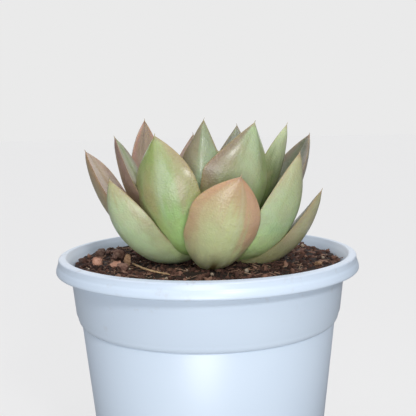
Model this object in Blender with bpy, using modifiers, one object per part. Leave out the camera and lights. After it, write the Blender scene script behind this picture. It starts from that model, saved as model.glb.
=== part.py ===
"""Potted succulent: a turned plastic nursery pot, its soil, and a rosette of thick, pointed leaves.

Metres, +Z up. The origin is the centre of the circle that the pot stands on.
Leaves follow the order in which they grew: each new one sits a little higher on the stem and a golden
angle round from the last, so old leaves lie low and wide and young ones stand in the middle.
Azimuths are degrees, counter-clockwise from +X seen from above, so -Y, the front, is 270.
"""

import math
import random
from dataclasses import dataclass

import bmesh
import bpy
from mathutils import Euler, Vector, noise
from mathutils.bvhtree import BVHTree

MM = 0.001

# Pot
POT_HEIGHT = 95.4 * MM  # foot to the top of the rim
FOOT_RADIUS = 38.9 * MM
RIM_RADIUS = 54.5 * MM  # at the widest of the rim's skirt
WALL = 1.4 * MM
SKIRT_FLARE = 1.1 * MM  # how far the skirt stands out beyond the crest
SKIRT_DROP = 5.5 * MM  # top of the rim down to the skirt's lower lip
CREST_WIDTH = 2.3 * MM
CREST_FALL = 0.4 * MM  # the crest slopes outwards by this much
RIM_OVERHANG = 1.6 * MM  # crest's inner edge beyond the body just below it
RIM_FLARE = 5.2 * MM  # height over which the wall flares out into the rim
BAND_DROP = 23.8 * MM  # top of the rim down to the crease under the upper band
BAND_PROUD = 1.5 * MM  # upper band stands out from the lower body's taper
BAND_ROUNDING = 3.8 * MM  # height of the rounded foot of the band
FOOT_CHAMFER = 0.8 * MM
FOOT_WIDTH = 4.0 * MM  # ring that the pot stands on
FOOT_RECESS = 1.5 * MM
FLOOR = 1.6 * MM
DRAIN_RADIUS = 3.5 * MM
DRAIN_CIRCLE = 23.0 * MM
DRAINS = 5
POT_STEPS = 48

# Soil
SOIL_DROP = 3.1 * MM  # top of the rim down to the highest soil
SOIL_HOLLOW = 1.3 * MM  # depth of its dips
SOIL_RINGS = 8
STEM_DEPTH = 12.0 * MM  # stem below the soil's top

# Plant
STEM_RADIUS = 3.9 * MM
STEM_TIP_RADIUS = 2.7 * MM
STEM_RISE = 10.6 * MM  # stem above the soil's top
LEAF_SEAT = 0.7 * MM  # leaf base to stem
LEAF_FOOT_HEIGHT = 2.1 * MM  # oldest leaf's base above the soil
LEAF_SPACING = 0.46 * MM  # rise from one leaf's base to the next
BUD_FIRST = 19  # from this leaf on the bases close in over the stem's tip
BUD_CLOSING = 0.45 * MM  # by how much each one does
LEAF_THICKNESS = 6.0 * MM  # of the old leaves
THINNING_FIRST = 9  # from this leaf on each one is thinner
THINNING = 0.17 * MM  # by this much
LEAF_CUPPING = 0.24  # how far the margins curve inwards, per half width
WIDEST_AT = 0.62  # shares of a leaf's length
THICKEST_AT = 0.42
FOOT_WIDTH_SHARE = 0.22  # leaf's base, as shares of its full width and thickness
FOOT_THICKNESS_SHARE = 0.40
OUTER_SHARE = 0.62  # part of the thickness that lies outside the midrib line

GAP = 0.3 * MM  # between pieces that touch

GOLDEN_ANGLE = 137.5  # from each leaf round to the next one that grew
FIRST_AZIMUTH = 275  # the oldest leaf lies to the front
LEAF_COUNT = 27
OLD_LEAVES = 17  # the rest are the young leaves and the bud

# How leaves change from the oldest to the youngest: leaf number and value, straight between stops
LENGTHS = ((0, 49), (6, 55), (9, 50), (14, 48), (15, 40), (26, 18))  # mm, along the midrib
WIDTHS = ((0, 24), (8, 25), (14, 22), (17, 17), (26, 7))  # mm
LIES = ((0, -20), (7, 2), (14, 18), (16, 36), (26, 74))  # slope of the midrib at the stem
STANDS = ((0, 72), (9, 86), (26, 96))  # slope of the midrib at the tip


@dataclass(frozen=True)
class Habit:
    """How one leaf departs from the rule of its order. Angles in degrees, lengths in millimetres."""

    turn: float = 0  # round the stem, counter-clockwise
    lean: float = 0  # sideways tilt of the whole leaf
    twist: float = 0  # turn of the blade about its midrib, base to tip
    longer: float = 0
    wider: float = 0
    lie: float = 0  # added to the slope at the stem
    stand: float = 0  # added to the slope at the tip
    curl: float = 1.9  # how early the midrib turns up
    point: float = 2.0  # fullness of the outline towards the tip


HABITS = {
    0: Habit(turn=-2, lean=17, twist=-14, longer=1, stand=7, point=2.8),
    2: Habit(turn=-14, lean=-5, longer=-2, wider=-5, lie=-18, stand=-12, point=1.6),
    3: Habit(turn=-8, twist=-16, longer=-3, wider=-2, lie=-4, curl=1.4, point=1.6),
    5: Habit(turn=20, wider=3, lie=-15, twist=-4, point=1.7),
    6: Habit(turn=10, lean=2, twist=6, longer=1, wider=1, lie=-5, stand=-14, point=2.6),
    7: Habit(turn=-12, lean=-4, longer=3, lie=5, stand=-15),
    8: Habit(turn=-12, lean=-8, twist=6, longer=1, lie=-18, stand=10, curl=2.2, point=2.2),
    9: Habit(turn=-12, lean=-4, wider=-5, point=1.3),
    10: Habit(lean=8, wider=-5, lie=20, stand=-13, curl=2.3, point=1.7),
    11: Habit(turn=-15, lean=8, twist=12, wider=-4, stand=-15, curl=2.3),
    12: Habit(turn=-4, longer=1, wider=-2, point=1.3),
    13: Habit(turn=6, lean=12, twist=-15, wider=5, curl=2.4, point=1.3),
    14: Habit(longer=7, lie=-18, stand=12, curl=1.6),
    15: Habit(turn=12, wider=-4),
    16: Habit(turn=20, lean=5, longer=6, wider=-3, stand=5, curl=2.1, point=1.3),
    18: Habit(turn=10, wider=-3),
    19: Habit(longer=-3),
}
PLAIN = Habit()


@dataclass(frozen=True)
class Debris:
    """A piece of bark or stone lying on the soil. Millimetres and degrees."""

    azimuth: float
    inset: float  # from the pot's wall
    size: tuple
    turn: tuple  # tilt about X, tilt about Y, heading about Z


BARK = {
    "bark_block_dark": Debris(168, 7.5, (4.4, 4.6, 3.4), (8, -6, 20)),
    "bark_block_brown": Debris(177, 15.5, (5.6, 4.2, 4.2), (-6, 5, -12)),
    "bark_splinter_upright": Debris(200, 19.0, (2.8, 1.3, 5.4), (-14, 12, 15)),
    "bark_flake_red": Debris(196, 8.6, (7.2, 4.6, 1.2), (28, 4, 8)),
    "bark_flake_small": Debris(204, 14.0, (4.2, 4.0, 1.1), (30, -5, -10)),
    "bark_chip_front": Debris(213, 15.0, (5.2, 3.8, 2.6), (10, 6, 25)),
    "bark_chip_wall": Debris(184, 3.6, (2.6, 3.4, 1.8), (6, 10, 40)),
    "bark_chip_right": Debris(338, 8.0, (4.6, 2.2, 1.4), (8, -8, -35)),
    "bark_chip_back": Debris(62, 9.0, (5.0, 3.6, 2.2), (-5, 8, 70)),
    "bark_chip_behind": Debris(118, 12.0, (6.0, 3.8, 2.0), (6, -4, -30)),
}
PERLITE = {
    "perlite_1": Debris(273, 20.0, (1.7, 1.4, 1.2), (10, 20, 0)),
    "perlite_2": Debris(297, 20.5, (2.0, 1.5, 1.6), (0, 30, 50)),
    "perlite_3": Debris(249, 12.5, (1.4, 1.2, 1.1), (40, 0, 10)),
    "perlite_4": Debris(352, 7.0, (1.8, 1.5, 1.2), (0, 0, 80)),
    "perlite_5": Debris(28, 6.0, (2.2, 1.7, 1.5), (15, 5, 30)),
    "perlite_6": Debris(150, 6.5, (1.6, 1.5, 1.3), (5, 35, 60)),
}
STRAW_RADIUS = 0.32 * MM
STRAW = ((197, 21.0), (206, 21.5), (219, 21.0), (233, 19.8), (246, 18.6))  # azimuth, inset in mm


def collection(name):
    """A new collection of the scene."""
    made = bpy.data.collections.new(name)
    bpy.context.scene.collection.children.link(made)
    return made


def material(name, colour, roughness):
    """A Principled material of one colour."""
    made = bpy.data.materials.new(name)
    made.use_nodes = True
    shader = made.node_tree.nodes["Principled BSDF"]
    shader.inputs["Base Color"].default_value = (*colour, 1)
    shader.inputs["Roughness"].default_value = roughness
    shader.inputs["Metallic"].default_value = 0
    return made


def add_object(name, mesh, group, finish):
    """An object of a mesh, in a collection and with a material."""
    made = bpy.data.objects.new(name, mesh)
    mesh.materials.append(finish)
    group.objects.link(made)
    return made


def mesh_of(name, shape):
    """A mesh of what a bmesh holds, facing out and smooth."""
    bmesh.ops.recalc_face_normals(shape, faces=shape.faces)
    mesh = bpy.data.meshes.new(name)
    shape.to_mesh(mesh)
    shape.free()
    mesh.shade_smooth()
    return mesh


def turned(name, profile, group, finish):
    """A solid turned from a profile that starts and ends on the axis."""
    shape = bmesh.new()
    corners = [shape.verts.new((radius, 0, height)) for radius, height in profile]
    for first, second in zip(corners, corners[1:]):
        shape.edges.new((first, second))
    mesh = bpy.data.meshes.new(name)
    shape.to_mesh(mesh)
    shape.free()
    made = add_object(name, mesh, group, finish)
    screw = made.modifiers.new("turn", "SCREW")
    screw.axis = "Z"
    screw.steps = POT_STEPS
    screw.render_steps = POT_STEPS
    screw.use_merge_vertices = True
    screw.merge_threshold = 0.00001
    return made


def applied(made):
    """The object with its modifiers made into its mesh."""
    bpy.context.view_layer.update()
    depsgraph = bpy.context.evaluated_depsgraph_get()
    mesh = bpy.data.meshes.new_from_object(made.evaluated_get(depsgraph))
    made.modifiers.clear()
    made.data = mesh
    return made


def bvh_of(made):
    """A search tree of an object's evaluated mesh, in world space."""
    bpy.context.view_layer.update()
    depsgraph = bpy.context.evaluated_depsgraph_get()
    mesh = bpy.data.meshes.new_from_object(made.evaluated_get(depsgraph))
    shape = bmesh.new()
    shape.from_mesh(mesh)
    shape.transform(made.matrix_world)
    bpy.data.meshes.remove(mesh)
    tree = BVHTree.FromBMesh(shape)
    corners = [corner.co.copy() for corner in shape.verts]
    shape.free()
    return tree, corners


def cut(made, cutter):
    """Take a cutter out of an object."""
    cutter.hide_render = True
    cutter.display_type = "WIRE"
    boolean = made.modifiers.new("cut_" + cutter.name, "BOOLEAN")
    boolean.operation = "DIFFERENCE"
    boolean.solver = "EXACT"
    boolean.object = cutter


# Pot ------------------------------------------------------------------------------------------

CREST_OUTER = RIM_RADIUS - SKIRT_FLARE
CREST_INNER = CREST_OUTER - CREST_WIDTH
BODY_TOP_RADIUS = CREST_INNER - RIM_OVERHANG
FLARE_START = POT_HEIGHT - RIM_FLARE
BAND_START = POT_HEIGHT - BAND_DROP
FLOOR_TOP = FOOT_RECESS + FLOOR
TAPER = (BODY_TOP_RADIUS - BAND_PROUD - FOOT_RADIUS) / FLARE_START
SOIL_TOP = POT_HEIGHT - SOIL_DROP


def body_radius(height):
    """Outer radius of the tapered body below its band."""
    return FOOT_RADIUS + TAPER * height


def inner_wall():
    """The inner wall from the floor to the crest, as radii and heights."""
    band_foot = BAND_START + BAND_ROUNDING
    lower = [(body_radius(z) - WALL, z) for z in (FLOOR_TOP + WALL, BAND_START - WALL)]
    upper = [(body_radius(z) + BAND_PROUD - WALL, z) for z in (band_foot - WALL, FLARE_START)]
    floor_edge = (lower[0][0] - WALL, FLOOR_TOP)
    reach = CREST_INNER - upper[-1][0]
    flare = [
        (upper[-1][0] + share * reach, FLARE_START + rise * RIM_FLARE)
        for share, rise in ((0.13, 0.24), (0.5, 0.62), (0.88, 0.93), (1.0, 0.99))
    ]
    return [floor_edge, *lower, *upper, *flare]


def wall_radius(height):
    """Radius of the inner wall at a height."""
    points = inner_wall()
    for (low_r, low_z), (high_r, high_z) in zip(points, points[1:]):
        if low_z <= height <= high_z:
            return low_r + (high_r - low_r) * (height - low_z) / (high_z - low_z)
    return CREST_INNER


def pot_profile():
    """The pot's section: up the inner wall, over the rim, down the outside and in to the axis."""
    lip = POT_HEIGHT - SKIRT_DROP
    notch = CREST_OUTER + 0.26 * SKIRT_FLARE
    crest = [
        (CREST_INNER + 0.15 * CREST_WIDTH, POT_HEIGHT),
        (CREST_OUTER - 0.15 * CREST_WIDTH, POT_HEIGHT - 0.75 * CREST_FALL),
        (CREST_OUTER + 0.05 * CREST_WIDTH, POT_HEIGHT - 1.5 * CREST_FALL),
    ]
    skirt = [
        (notch, POT_HEIGHT - 0.44 * SKIRT_DROP),
        (CREST_OUTER + 0.61 * SKIRT_FLARE, POT_HEIGHT - 0.56 * SKIRT_DROP),
        (CREST_OUTER + 0.91 * SKIRT_FLARE, POT_HEIGHT - 0.76 * SKIRT_DROP),
        (RIM_RADIUS, lip + 0.6 * MM),
        (RIM_RADIUS - 0.2 * MM, lip + 0.15 * MM),
        (RIM_RADIUS - 0.7 * MM, lip),
        (RIM_RADIUS - 1.3 * MM, lip + 0.2 * MM),
    ]
    web_foot, web_middle = inner_wall()[5:7]
    under = [
        (RIM_RADIUS - 1.0 * MM - 0.5 * WALL, lip + 0.9 * MM),
        (RIM_RADIUS - 1.8 * MM - 0.5 * WALL, lip + 2.4 * MM),
        (CREST_OUTER - 0.35 * WALL, lip + 3.0 * MM),
        (web_middle[0] + 0.95 * WALL, web_middle[1] - 0.05 * WALL),
        (web_foot[0] + 0.95 * WALL, web_foot[1] - 0.45 * WALL),
    ]
    band = [
        (body_radius(z) + BAND_PROUD, z) for z in (FLARE_START - 0.3 * WALL, BAND_START + BAND_ROUNDING)
    ]
    rounding = [
        (
            body_radius(BAND_START) + BAND_PROUD * math.sin(math.radians(angle)),
            BAND_START + BAND_ROUNDING * (1 - math.cos(math.radians(angle))),
        )
        for angle in (68, 42, 0)
    ]
    foot = [
        (body_radius(FOOT_CHAMFER), FOOT_CHAMFER),
        (FOOT_RADIUS - FOOT_CHAMFER, 0),
        (FOOT_RADIUS - FOOT_CHAMFER - FOOT_WIDTH, 0),
        (FOOT_RADIUS - FOOT_CHAMFER - FOOT_WIDTH - FOOT_RECESS, FOOT_RECESS),
        (0, FOOT_RECESS),
    ]
    return [(0, FLOOR_TOP), *inner_wall(), *crest, *skirt, *under, *band, *rounding, *foot]


def build_pot(group, cutters):
    """The pot, with drain holes through its raised floor."""
    pot = turned("pot", pot_profile(), group, material("pot_plastic", (0.72, 0.79, 0.88), 0.35))
    steel = material("cutter", (0.5, 0.5, 0.5), 0.5)
    for number in range(DRAINS):
        angle = math.tau * (number + 0.5) / DRAINS
        shape = bmesh.new()
        bmesh.ops.create_cone(
            shape,
            cap_ends=True,
            segments=16,
            radius1=DRAIN_RADIUS,
            radius2=DRAIN_RADIUS,
            depth=4 * (FOOT_RECESS + FLOOR),
        )
        name = f"drain_drill_{number + 1}"
        drill = add_object(name, mesh_of(name, shape), cutters, steel)
        drill.location = (DRAIN_CIRCLE * math.cos(angle), DRAIN_CIRCLE * math.sin(angle), 0)
        cut(pot, drill)
    return pot


# Soil -----------------------------------------------------------------------------------------


def build_soil(group):
    """The soil, filling the pot, with an uneven top and a socket for the stem."""
    socket = STEM_RADIUS + GAP
    edge = wall_radius(SOIL_TOP - SOIL_HOLLOW) - GAP
    rings = [socket + (edge - socket) * number / SOIL_RINGS for number in range(SOIL_RINGS)]
    top = [(radius, SOIL_TOP) for radius in rings]
    side = [(radius - GAP, z) for radius, z in reversed(inner_wall()) if z < SOIL_TOP - SOIL_HOLLOW]
    profile = [
        (0, SOIL_TOP - STEM_DEPTH),
        (socket, SOIL_TOP - STEM_DEPTH),
        *top,
        (edge, SOIL_TOP - SOIL_HOLLOW),
        *side[:-1],
        (side[-1][0], FLOOR_TOP + GAP),
        (0, FLOOR_TOP + GAP),
    ]
    soil = applied(turned("potting_soil", profile, group, material("soil_mix", (0.13, 0.075, 0.05), 0.95)))
    for corner in soil.data.vertices:
        radius = math.hypot(corner.co.x, corner.co.y)
        if corner.co.z > SOIL_TOP - 0.5 * SOIL_HOLLOW and radius < edge - GAP:
            dip = 0.5 + 0.5 * noise.noise(Vector((corner.co.x, corner.co.y, 0)) / (7 * MM))
            corner.co.z -= SOIL_HOLLOW * max(0, min(1, dip))
    return soil


# Plant ----------------------------------------------------------------------------------------


def build_stem(group, name="rosette_stem", grow=0.0):
    """The short stem, from its socket in the soil to its tip among the bud leaves.

    With grow it stands out by that much, which gives the room that it needs.
    """
    tip = SOIL_TOP + STEM_RISE
    shoulder = tip - 0.5 * STEM_TIP_RADIUS
    profile = [
        (0, tip),
        (0.6 * STEM_TIP_RADIUS, tip - 0.12 * STEM_TIP_RADIUS),
        (STEM_TIP_RADIUS, shoulder),
        (STEM_RADIUS, SOIL_TOP + 0.5 * STEM_RISE),
        (STEM_RADIUS, SOIL_TOP),
        (0.8 * STEM_RADIUS, SOIL_TOP - STEM_DEPTH + 2 * GAP),
        (0, SOIL_TOP - STEM_DEPTH + GAP),
    ]
    profile = [(radius + grow if radius else 0, z + (grow if z > SOIL_TOP else 0)) for radius, z in profile]
    return turned(name, profile, group, material("stem_bark", (0.35, 0.3, 0.2), 0.8))


def along(stops, order):
    """Value at a leaf's number, straight between the stops on either side."""
    for (low, first), (high, last) in zip(stops, stops[1:]):
        if order <= high:
            return first + (last - first) * (order - low) / (high - low)
    return stops[-1][1]


@dataclass(frozen=True)
class Leaf:
    """One leaf as it stands: the rule of its order and its own habit together."""

    order: int

    @property
    def habit(self):
        return HABITS.get(self.order, PLAIN)

    @property
    def azimuth(self):
        return FIRST_AZIMUTH - GOLDEN_ANGLE * self.order + self.habit.turn

    @property
    def length(self):
        return along(LENGTHS, self.order) + self.habit.longer

    @property
    def width(self):
        return along(WIDTHS, self.order) + self.habit.wider

    @property
    def lie(self):
        return along(LIES, self.order) + self.habit.lie

    @property
    def stand(self):
        return along(STANDS, self.order) + self.habit.stand


def width_at(share, point):
    """Width of a leaf at a share of its length, as a share of its full width."""
    if share < WIDEST_AT:
        swell = math.sin(0.5 * math.pi * share / WIDEST_AT) ** 0.8
        return FOOT_WIDTH_SHARE + (1 - FOOT_WIDTH_SHARE) * swell
    return 1 - 0.985 * ((share - WIDEST_AT) / (1 - WIDEST_AT)) ** point


def thickness_at(share):
    """Thickness of a leaf at a share of its length, as a share of its full thickness."""
    if share < THICKEST_AT:
        swell = math.sin(0.5 * math.pi * share / THICKEST_AT)
        return FOOT_THICKNESS_SHARE + (1 - FOOT_THICKNESS_SHARE) * swell
    return 1 - 0.95 * ((share - THICKEST_AT) / (1 - THICKEST_AT)) ** 2.1


def midrib(leaf, stations):
    """Reach, rise and slope of the midrib at each station, from the leaf's base."""
    strides = 12  # between stations
    stride = leaf.length * MM / (stations * strides)
    reach = rise = 0.0
    found = []
    for number in range(stations * strides + 1):
        share = number / (stations * strides)
        slope = math.radians(leaf.lie + (leaf.stand - leaf.lie) * (1 - (1 - share) ** leaf.habit.curl))
        if number % strides == 0:
            found.append((share, reach, rise, slope))
        reach += stride * math.cos(slope)
        rise += stride * math.sin(slope)
    return found


def section(leaf, share, thickness, flanks, grow):
    """A ring of points across the blade: sideways, and outwards from the midrib."""
    half = 0.5 * leaf.width * MM * width_at(share, leaf.habit.point) + grow
    thick = thickness * thickness_at(share) + 2 * grow
    ring = []
    steps = [number / flanks for number in range(-flanks, flanks + 1)]
    for across in steps:
        crown = 0.8 * (1 - abs(across) ** 2.2) + 0.2 * (1 - abs(across)) ** 1.3
        ring.append((half * across, OUTER_SHARE * thick * crown - LEAF_CUPPING * half * across**2))
    for across in reversed(steps[1:-1]):
        hollow = (1 - OUTER_SHARE) * thick * (1 - across**2)
        ring.append((half * across, -hollow - LEAF_CUPPING * half * across**2))
    return ring


def leaf_mesh(name, leaf, stations, flanks, grow=0.0):
    """A leaf lofted through its sections, and closed at its base and its tip.

    With grow, every section stands out by that much, which gives the room that the leaf needs.
    """
    closing = max(0, leaf.order - BUD_FIRST)
    thickness = LEAF_THICKNESS - THINNING * max(0, leaf.order - THINNING_FIRST)
    base_radius = STEM_RADIUS + LEAF_SEAT - BUD_CLOSING * closing
    base_height = SOIL_TOP + LEAF_FOOT_HEIGHT + LEAF_SPACING * leaf.order
    azimuth, lean, twist = map(math.radians, (leaf.azimuth, leaf.habit.lean, leaf.habit.twist))
    outwards = Vector((math.cos(azimuth), math.sin(azimuth), 0))
    sideways = Vector((-math.sin(azimuth), math.cos(azimuth), 0))
    shape = bmesh.new()
    rings = []
    for share, reach, rise, slope in midrib(leaf, stations):
        corners = []
        for across, out in section(leaf, share, thickness, flanks, grow):
            side = across * math.cos(twist * share) - out * math.sin(twist * share)
            depth = across * math.sin(twist * share) + out * math.cos(twist * share)
            distance = base_radius + reach + depth * math.sin(slope)
            height = rise - depth * math.cos(slope)
            tilted = side * math.cos(lean) + height * math.sin(lean)
            lifted = height * math.cos(lean) - side * math.sin(lean)
            place = outwards * distance + sideways * tilted + Vector((0, 0, base_height + lifted))
            corners.append(shape.verts.new(place))
        rings.append(corners)
    for low, high in zip(rings, rings[1:]):
        for number in range(len(low)):
            after = (number + 1) % len(low)
            shape.faces.new((low[number], low[after], high[after], high[number]))
    shape.faces.new(rings[0])
    shape.faces.new(rings[-1])
    return mesh_of(name, shape)


def build_leaves(group, cutters, soil):
    """All leaves. Where two would press into each other, or a leaf into the soil, the older gives way.

    The stem was there before any leaf's blade, so leaves give way to it.
    """
    old = material("leaf_skin", (0.42, 0.5, 0.3), 0.35)
    made, rooms = [], []
    for order in range(LEAF_COUNT):
        leaf = Leaf(order)
        young = order - OLD_LEAVES
        name = f"leaf_{order + 1:02d}" if young < 0 else f"young_leaf_{young + 1:02d}"
        detail = (12, 3) if young < 0 else (9, 2)
        made.append(add_object(name, leaf_mesh(name, leaf, *detail), group, old))
        room_mesh = leaf_mesh(name + "_room", leaf, *detail, grow=GAP)
        rooms.append(add_object(name + "_room", room_mesh, cutters, old))
    trees = [bvh_of(leaf)[0] for leaf in made]
    room_trees = [bvh_of(room)[0] for room in rooms]
    soil_tree = bvh_of(soil)[0]
    stem_room = build_stem(cutters, "rosette_stem_room", GAP)
    stem_tree = bvh_of(stem_room)[0]
    for order, leaf in enumerate(made):
        if trees[order].overlap(stem_tree):
            cut(leaf, stem_room)
        for later in range(order + 1, len(made)):
            if trees[order].overlap(room_trees[later]):
                cut(leaf, rooms[later])
        if soil_tree.overlap(room_trees[order]):
            cut(soil, rooms[order])
    for room in (*rooms, stem_room):
        room.hide_render = True
        room.display_type = "WIRE"
    return made


# Debris on the soil -----------------------------------------------------------------------------


def on_soil(azimuth, inset):
    """Place at an azimuth, and at a distance in millimetres from the wall, at the soil's top."""
    angle = math.radians(azimuth)
    radius = wall_radius(SOIL_TOP) - inset * MM
    return Vector((radius * math.cos(angle), radius * math.sin(angle), SOIL_TOP))


def settle(piece, ground):
    """Move a piece up or down until it lies just clear of the soil and of the pieces already there."""
    tree, corners = bvh_of(piece)
    down, high = Vector((0, 0, -1)), POT_HEIGHT + 50 * MM
    rooms = []
    for ground_tree, ground_corners in ground:
        for corner in corners:
            hit = ground_tree.ray_cast(Vector((corner.x, corner.y, high)), down)[0]
            if hit:
                rooms.append(corner.z - hit.z)
        for corner in ground_corners:
            hit = tree.ray_cast(Vector((corner.x, corner.y, 0)), -down)[0]
            if hit and corner.z > 0.5 * POT_HEIGHT:
                rooms.append(hit.z - corner.z)
    piece.location.z -= min(rooms) - GAP
    ground.append(bvh_of(piece))


def build_bark(group, ground):
    """Chips of bark: bevelled blocks with uneven corners."""
    finish = material("bark", (0.28, 0.15, 0.1), 0.9)
    for seed, (name, chip) in enumerate(BARK.items()):
        draw = random.Random(seed)
        shape = bmesh.new()
        bmesh.ops.create_cube(shape, size=1)
        for corner in shape.verts:
            for axis in range(3):
                corner.co[axis] *= chip.size[axis] * MM * draw.uniform(0.72, 1.0)
        piece = add_object(name, mesh_of(name, shape), group, finish)
        bevel = piece.modifiers.new("worn_edges", "BEVEL")
        bevel.width = 0.12 * min(chip.size) * MM
        bevel.segments = 1
        piece.rotation_euler = Euler([math.radians(angle) for angle in chip.turn])
        piece.location = on_soil(chip.azimuth, chip.inset)
        settle(piece, ground)


def build_perlite(group, ground):
    """Grains of perlite: lumpy little stones."""
    finish = material("perlite", (0.8, 0.72, 0.6), 0.9)
    for seed, (name, grain) in enumerate(PERLITE.items()):
        draw = random.Random(100 + seed)
        shape = bmesh.new()
        bmesh.ops.create_icosphere(shape, subdivisions=1, radius=0.5)
        for corner in shape.verts:
            corner.co *= draw.uniform(0.82, 1.05)
            for axis in range(3):
                corner.co[axis] *= grain.size[axis] * MM
        piece = add_object(name, mesh_of(name, shape), group, finish)
        piece.rotation_euler = Euler([math.radians(angle) for angle in grain.turn])
        piece.location = on_soil(grain.azimuth, grain.inset)
        settle(piece, ground)


def build_straw(group, ground):
    """A dry stalk lying across the soil on the left."""
    curve = bpy.data.curves.new("straw", "CURVE")
    curve.dimensions = "3D"
    curve.bevel_depth = STRAW_RADIUS
    curve.bevel_resolution = 1
    curve.use_fill_caps = True
    spline = curve.splines.new("POLY")
    spline.points.add(len(STRAW) - 1)
    for point, place in zip(spline.points, STRAW):
        point.co = (*on_soil(*place), 1)
    straw = bpy.data.objects.new("straw", curve)
    curve.materials.append(material("dry_stalk", (0.7, 0.52, 0.33), 0.7))
    group.objects.link(straw)
    settle(straw, ground)


def main():
    """Build the potted succulent."""
    for left in list(bpy.data.objects):
        bpy.data.objects.remove(left)
    group, cutters = collection("potted_succulent"), collection("cutters")
    build_pot(group, cutters)
    soil = build_soil(group)
    ground = [bvh_of(soil)]
    build_stem(group)
    build_bark(group, ground)
    build_perlite(group, ground)
    build_straw(group, ground)
    build_leaves(group, cutters, soil)


main()
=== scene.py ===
"""Looks of a potted succulent: a satin plastic nursery pot, coarse potting mix and a rosette of leaves.

Metres, +Z up. The origin is the centre of the circle that the pot stands on, and -Y is the front.
The pot is turned, the soil is a bed with grains strewn over it by Geometry Nodes, and every leaf is
lofted along its own curved midrib by the same rule of growth that the solid model follows.
"""

from __future__ import annotations

import logging
import math
from collections.abc import Callable, Mapping, Sequence
from dataclasses import dataclass, field
from enum import Enum
from typing import Any

import bmesh
import bpy
from mathutils import Matrix, Vector, noise


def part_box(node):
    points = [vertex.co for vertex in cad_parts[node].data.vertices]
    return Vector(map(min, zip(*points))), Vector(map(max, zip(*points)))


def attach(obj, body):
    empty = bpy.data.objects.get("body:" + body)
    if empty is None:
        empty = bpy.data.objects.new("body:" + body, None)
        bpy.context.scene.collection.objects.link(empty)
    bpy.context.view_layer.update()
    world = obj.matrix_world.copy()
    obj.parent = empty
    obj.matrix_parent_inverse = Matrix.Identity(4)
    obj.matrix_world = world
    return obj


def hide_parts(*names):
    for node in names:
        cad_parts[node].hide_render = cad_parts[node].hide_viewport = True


log = logging.getLogger("succulent")
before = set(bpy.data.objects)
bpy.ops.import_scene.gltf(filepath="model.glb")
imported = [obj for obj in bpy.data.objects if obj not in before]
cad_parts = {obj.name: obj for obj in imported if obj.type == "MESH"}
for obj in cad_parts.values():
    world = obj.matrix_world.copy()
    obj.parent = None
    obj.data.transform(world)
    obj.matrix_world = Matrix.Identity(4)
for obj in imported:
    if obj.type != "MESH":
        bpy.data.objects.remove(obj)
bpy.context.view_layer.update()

MM = 0.001
BODY = "root"
Colour = tuple[float, float, float, float]
Point = tuple[float, float]  # a radius and a height
Point3 = tuple[float, float, float]


def shade(code: str) -> Colour:
    """A linear colour from a hexadecimal sRGB one.

    Args:
        code: six digits after a hash sign.

    Returns:
        Red, green, blue and alpha, linear.
    """
    parts = [int(code[at : at + 2], 16) / 255 for at in (1, 3, 5)]
    linear = [part / 12.92 if part <= 0.04045 else ((part + 0.055) / 1.055) ** 2.4 for part in parts]
    return (linear[0], linear[1], linear[2], 1.0)


def smooth(low: float, high: float, value: float) -> float:
    """Smooth step from 0 at low to 1 at high."""
    share = max(0.0, min(1.0, (value - low) / (high - low)))
    return share * share * (3 - 2 * share)


# Node graphs ----------------------------------------------------------------------------------


class Signal:
    """A node's output that can be used in arithmetic."""

    def __init__(self, graph: Graph, socket: bpy.types.NodeSocket) -> None:
        """Wrap an output socket of a graph."""
        self.graph = graph
        self.socket = socket

    def __add__(self, other: Signal | float) -> Signal:
        """Sum."""
        return self.graph.math("ADD", self, other)

    def __sub__(self, other: Signal | float) -> Signal:
        """Difference."""
        return self.graph.math("SUBTRACT", self, other)

    def __rsub__(self, other: float) -> Signal:
        """Difference, from a number."""
        return self.graph.math("SUBTRACT", other, self)

    def __mul__(self, other: Signal | float) -> Signal:
        """Product."""
        return self.graph.math("MULTIPLY", self, other)

    def __abs__(self) -> Signal:
        """Size without its sign."""
        return self.graph.math("ABSOLUTE", self, 0.0)

    def __neg__(self) -> Signal:
        """Opposite."""
        return self.graph.math("MULTIPLY", self, -1.0)

    __radd__ = __add__
    __rmul__ = __mul__

    def at_least(self, other: Signal | float) -> Signal:
        """The larger of two."""
        return self.graph.math("MAXIMUM", self, other)

    def step(self, low: float, high: float) -> Signal:
        """Smooth step from 0 at low to 1 at high."""
        return self.graph.node(
            "ShaderNodeMapRange",
            {"interpolation_type": "SMOOTHSTEP"},
            {"Value": self, "From Min": low, "From Max": high},
        )


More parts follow.
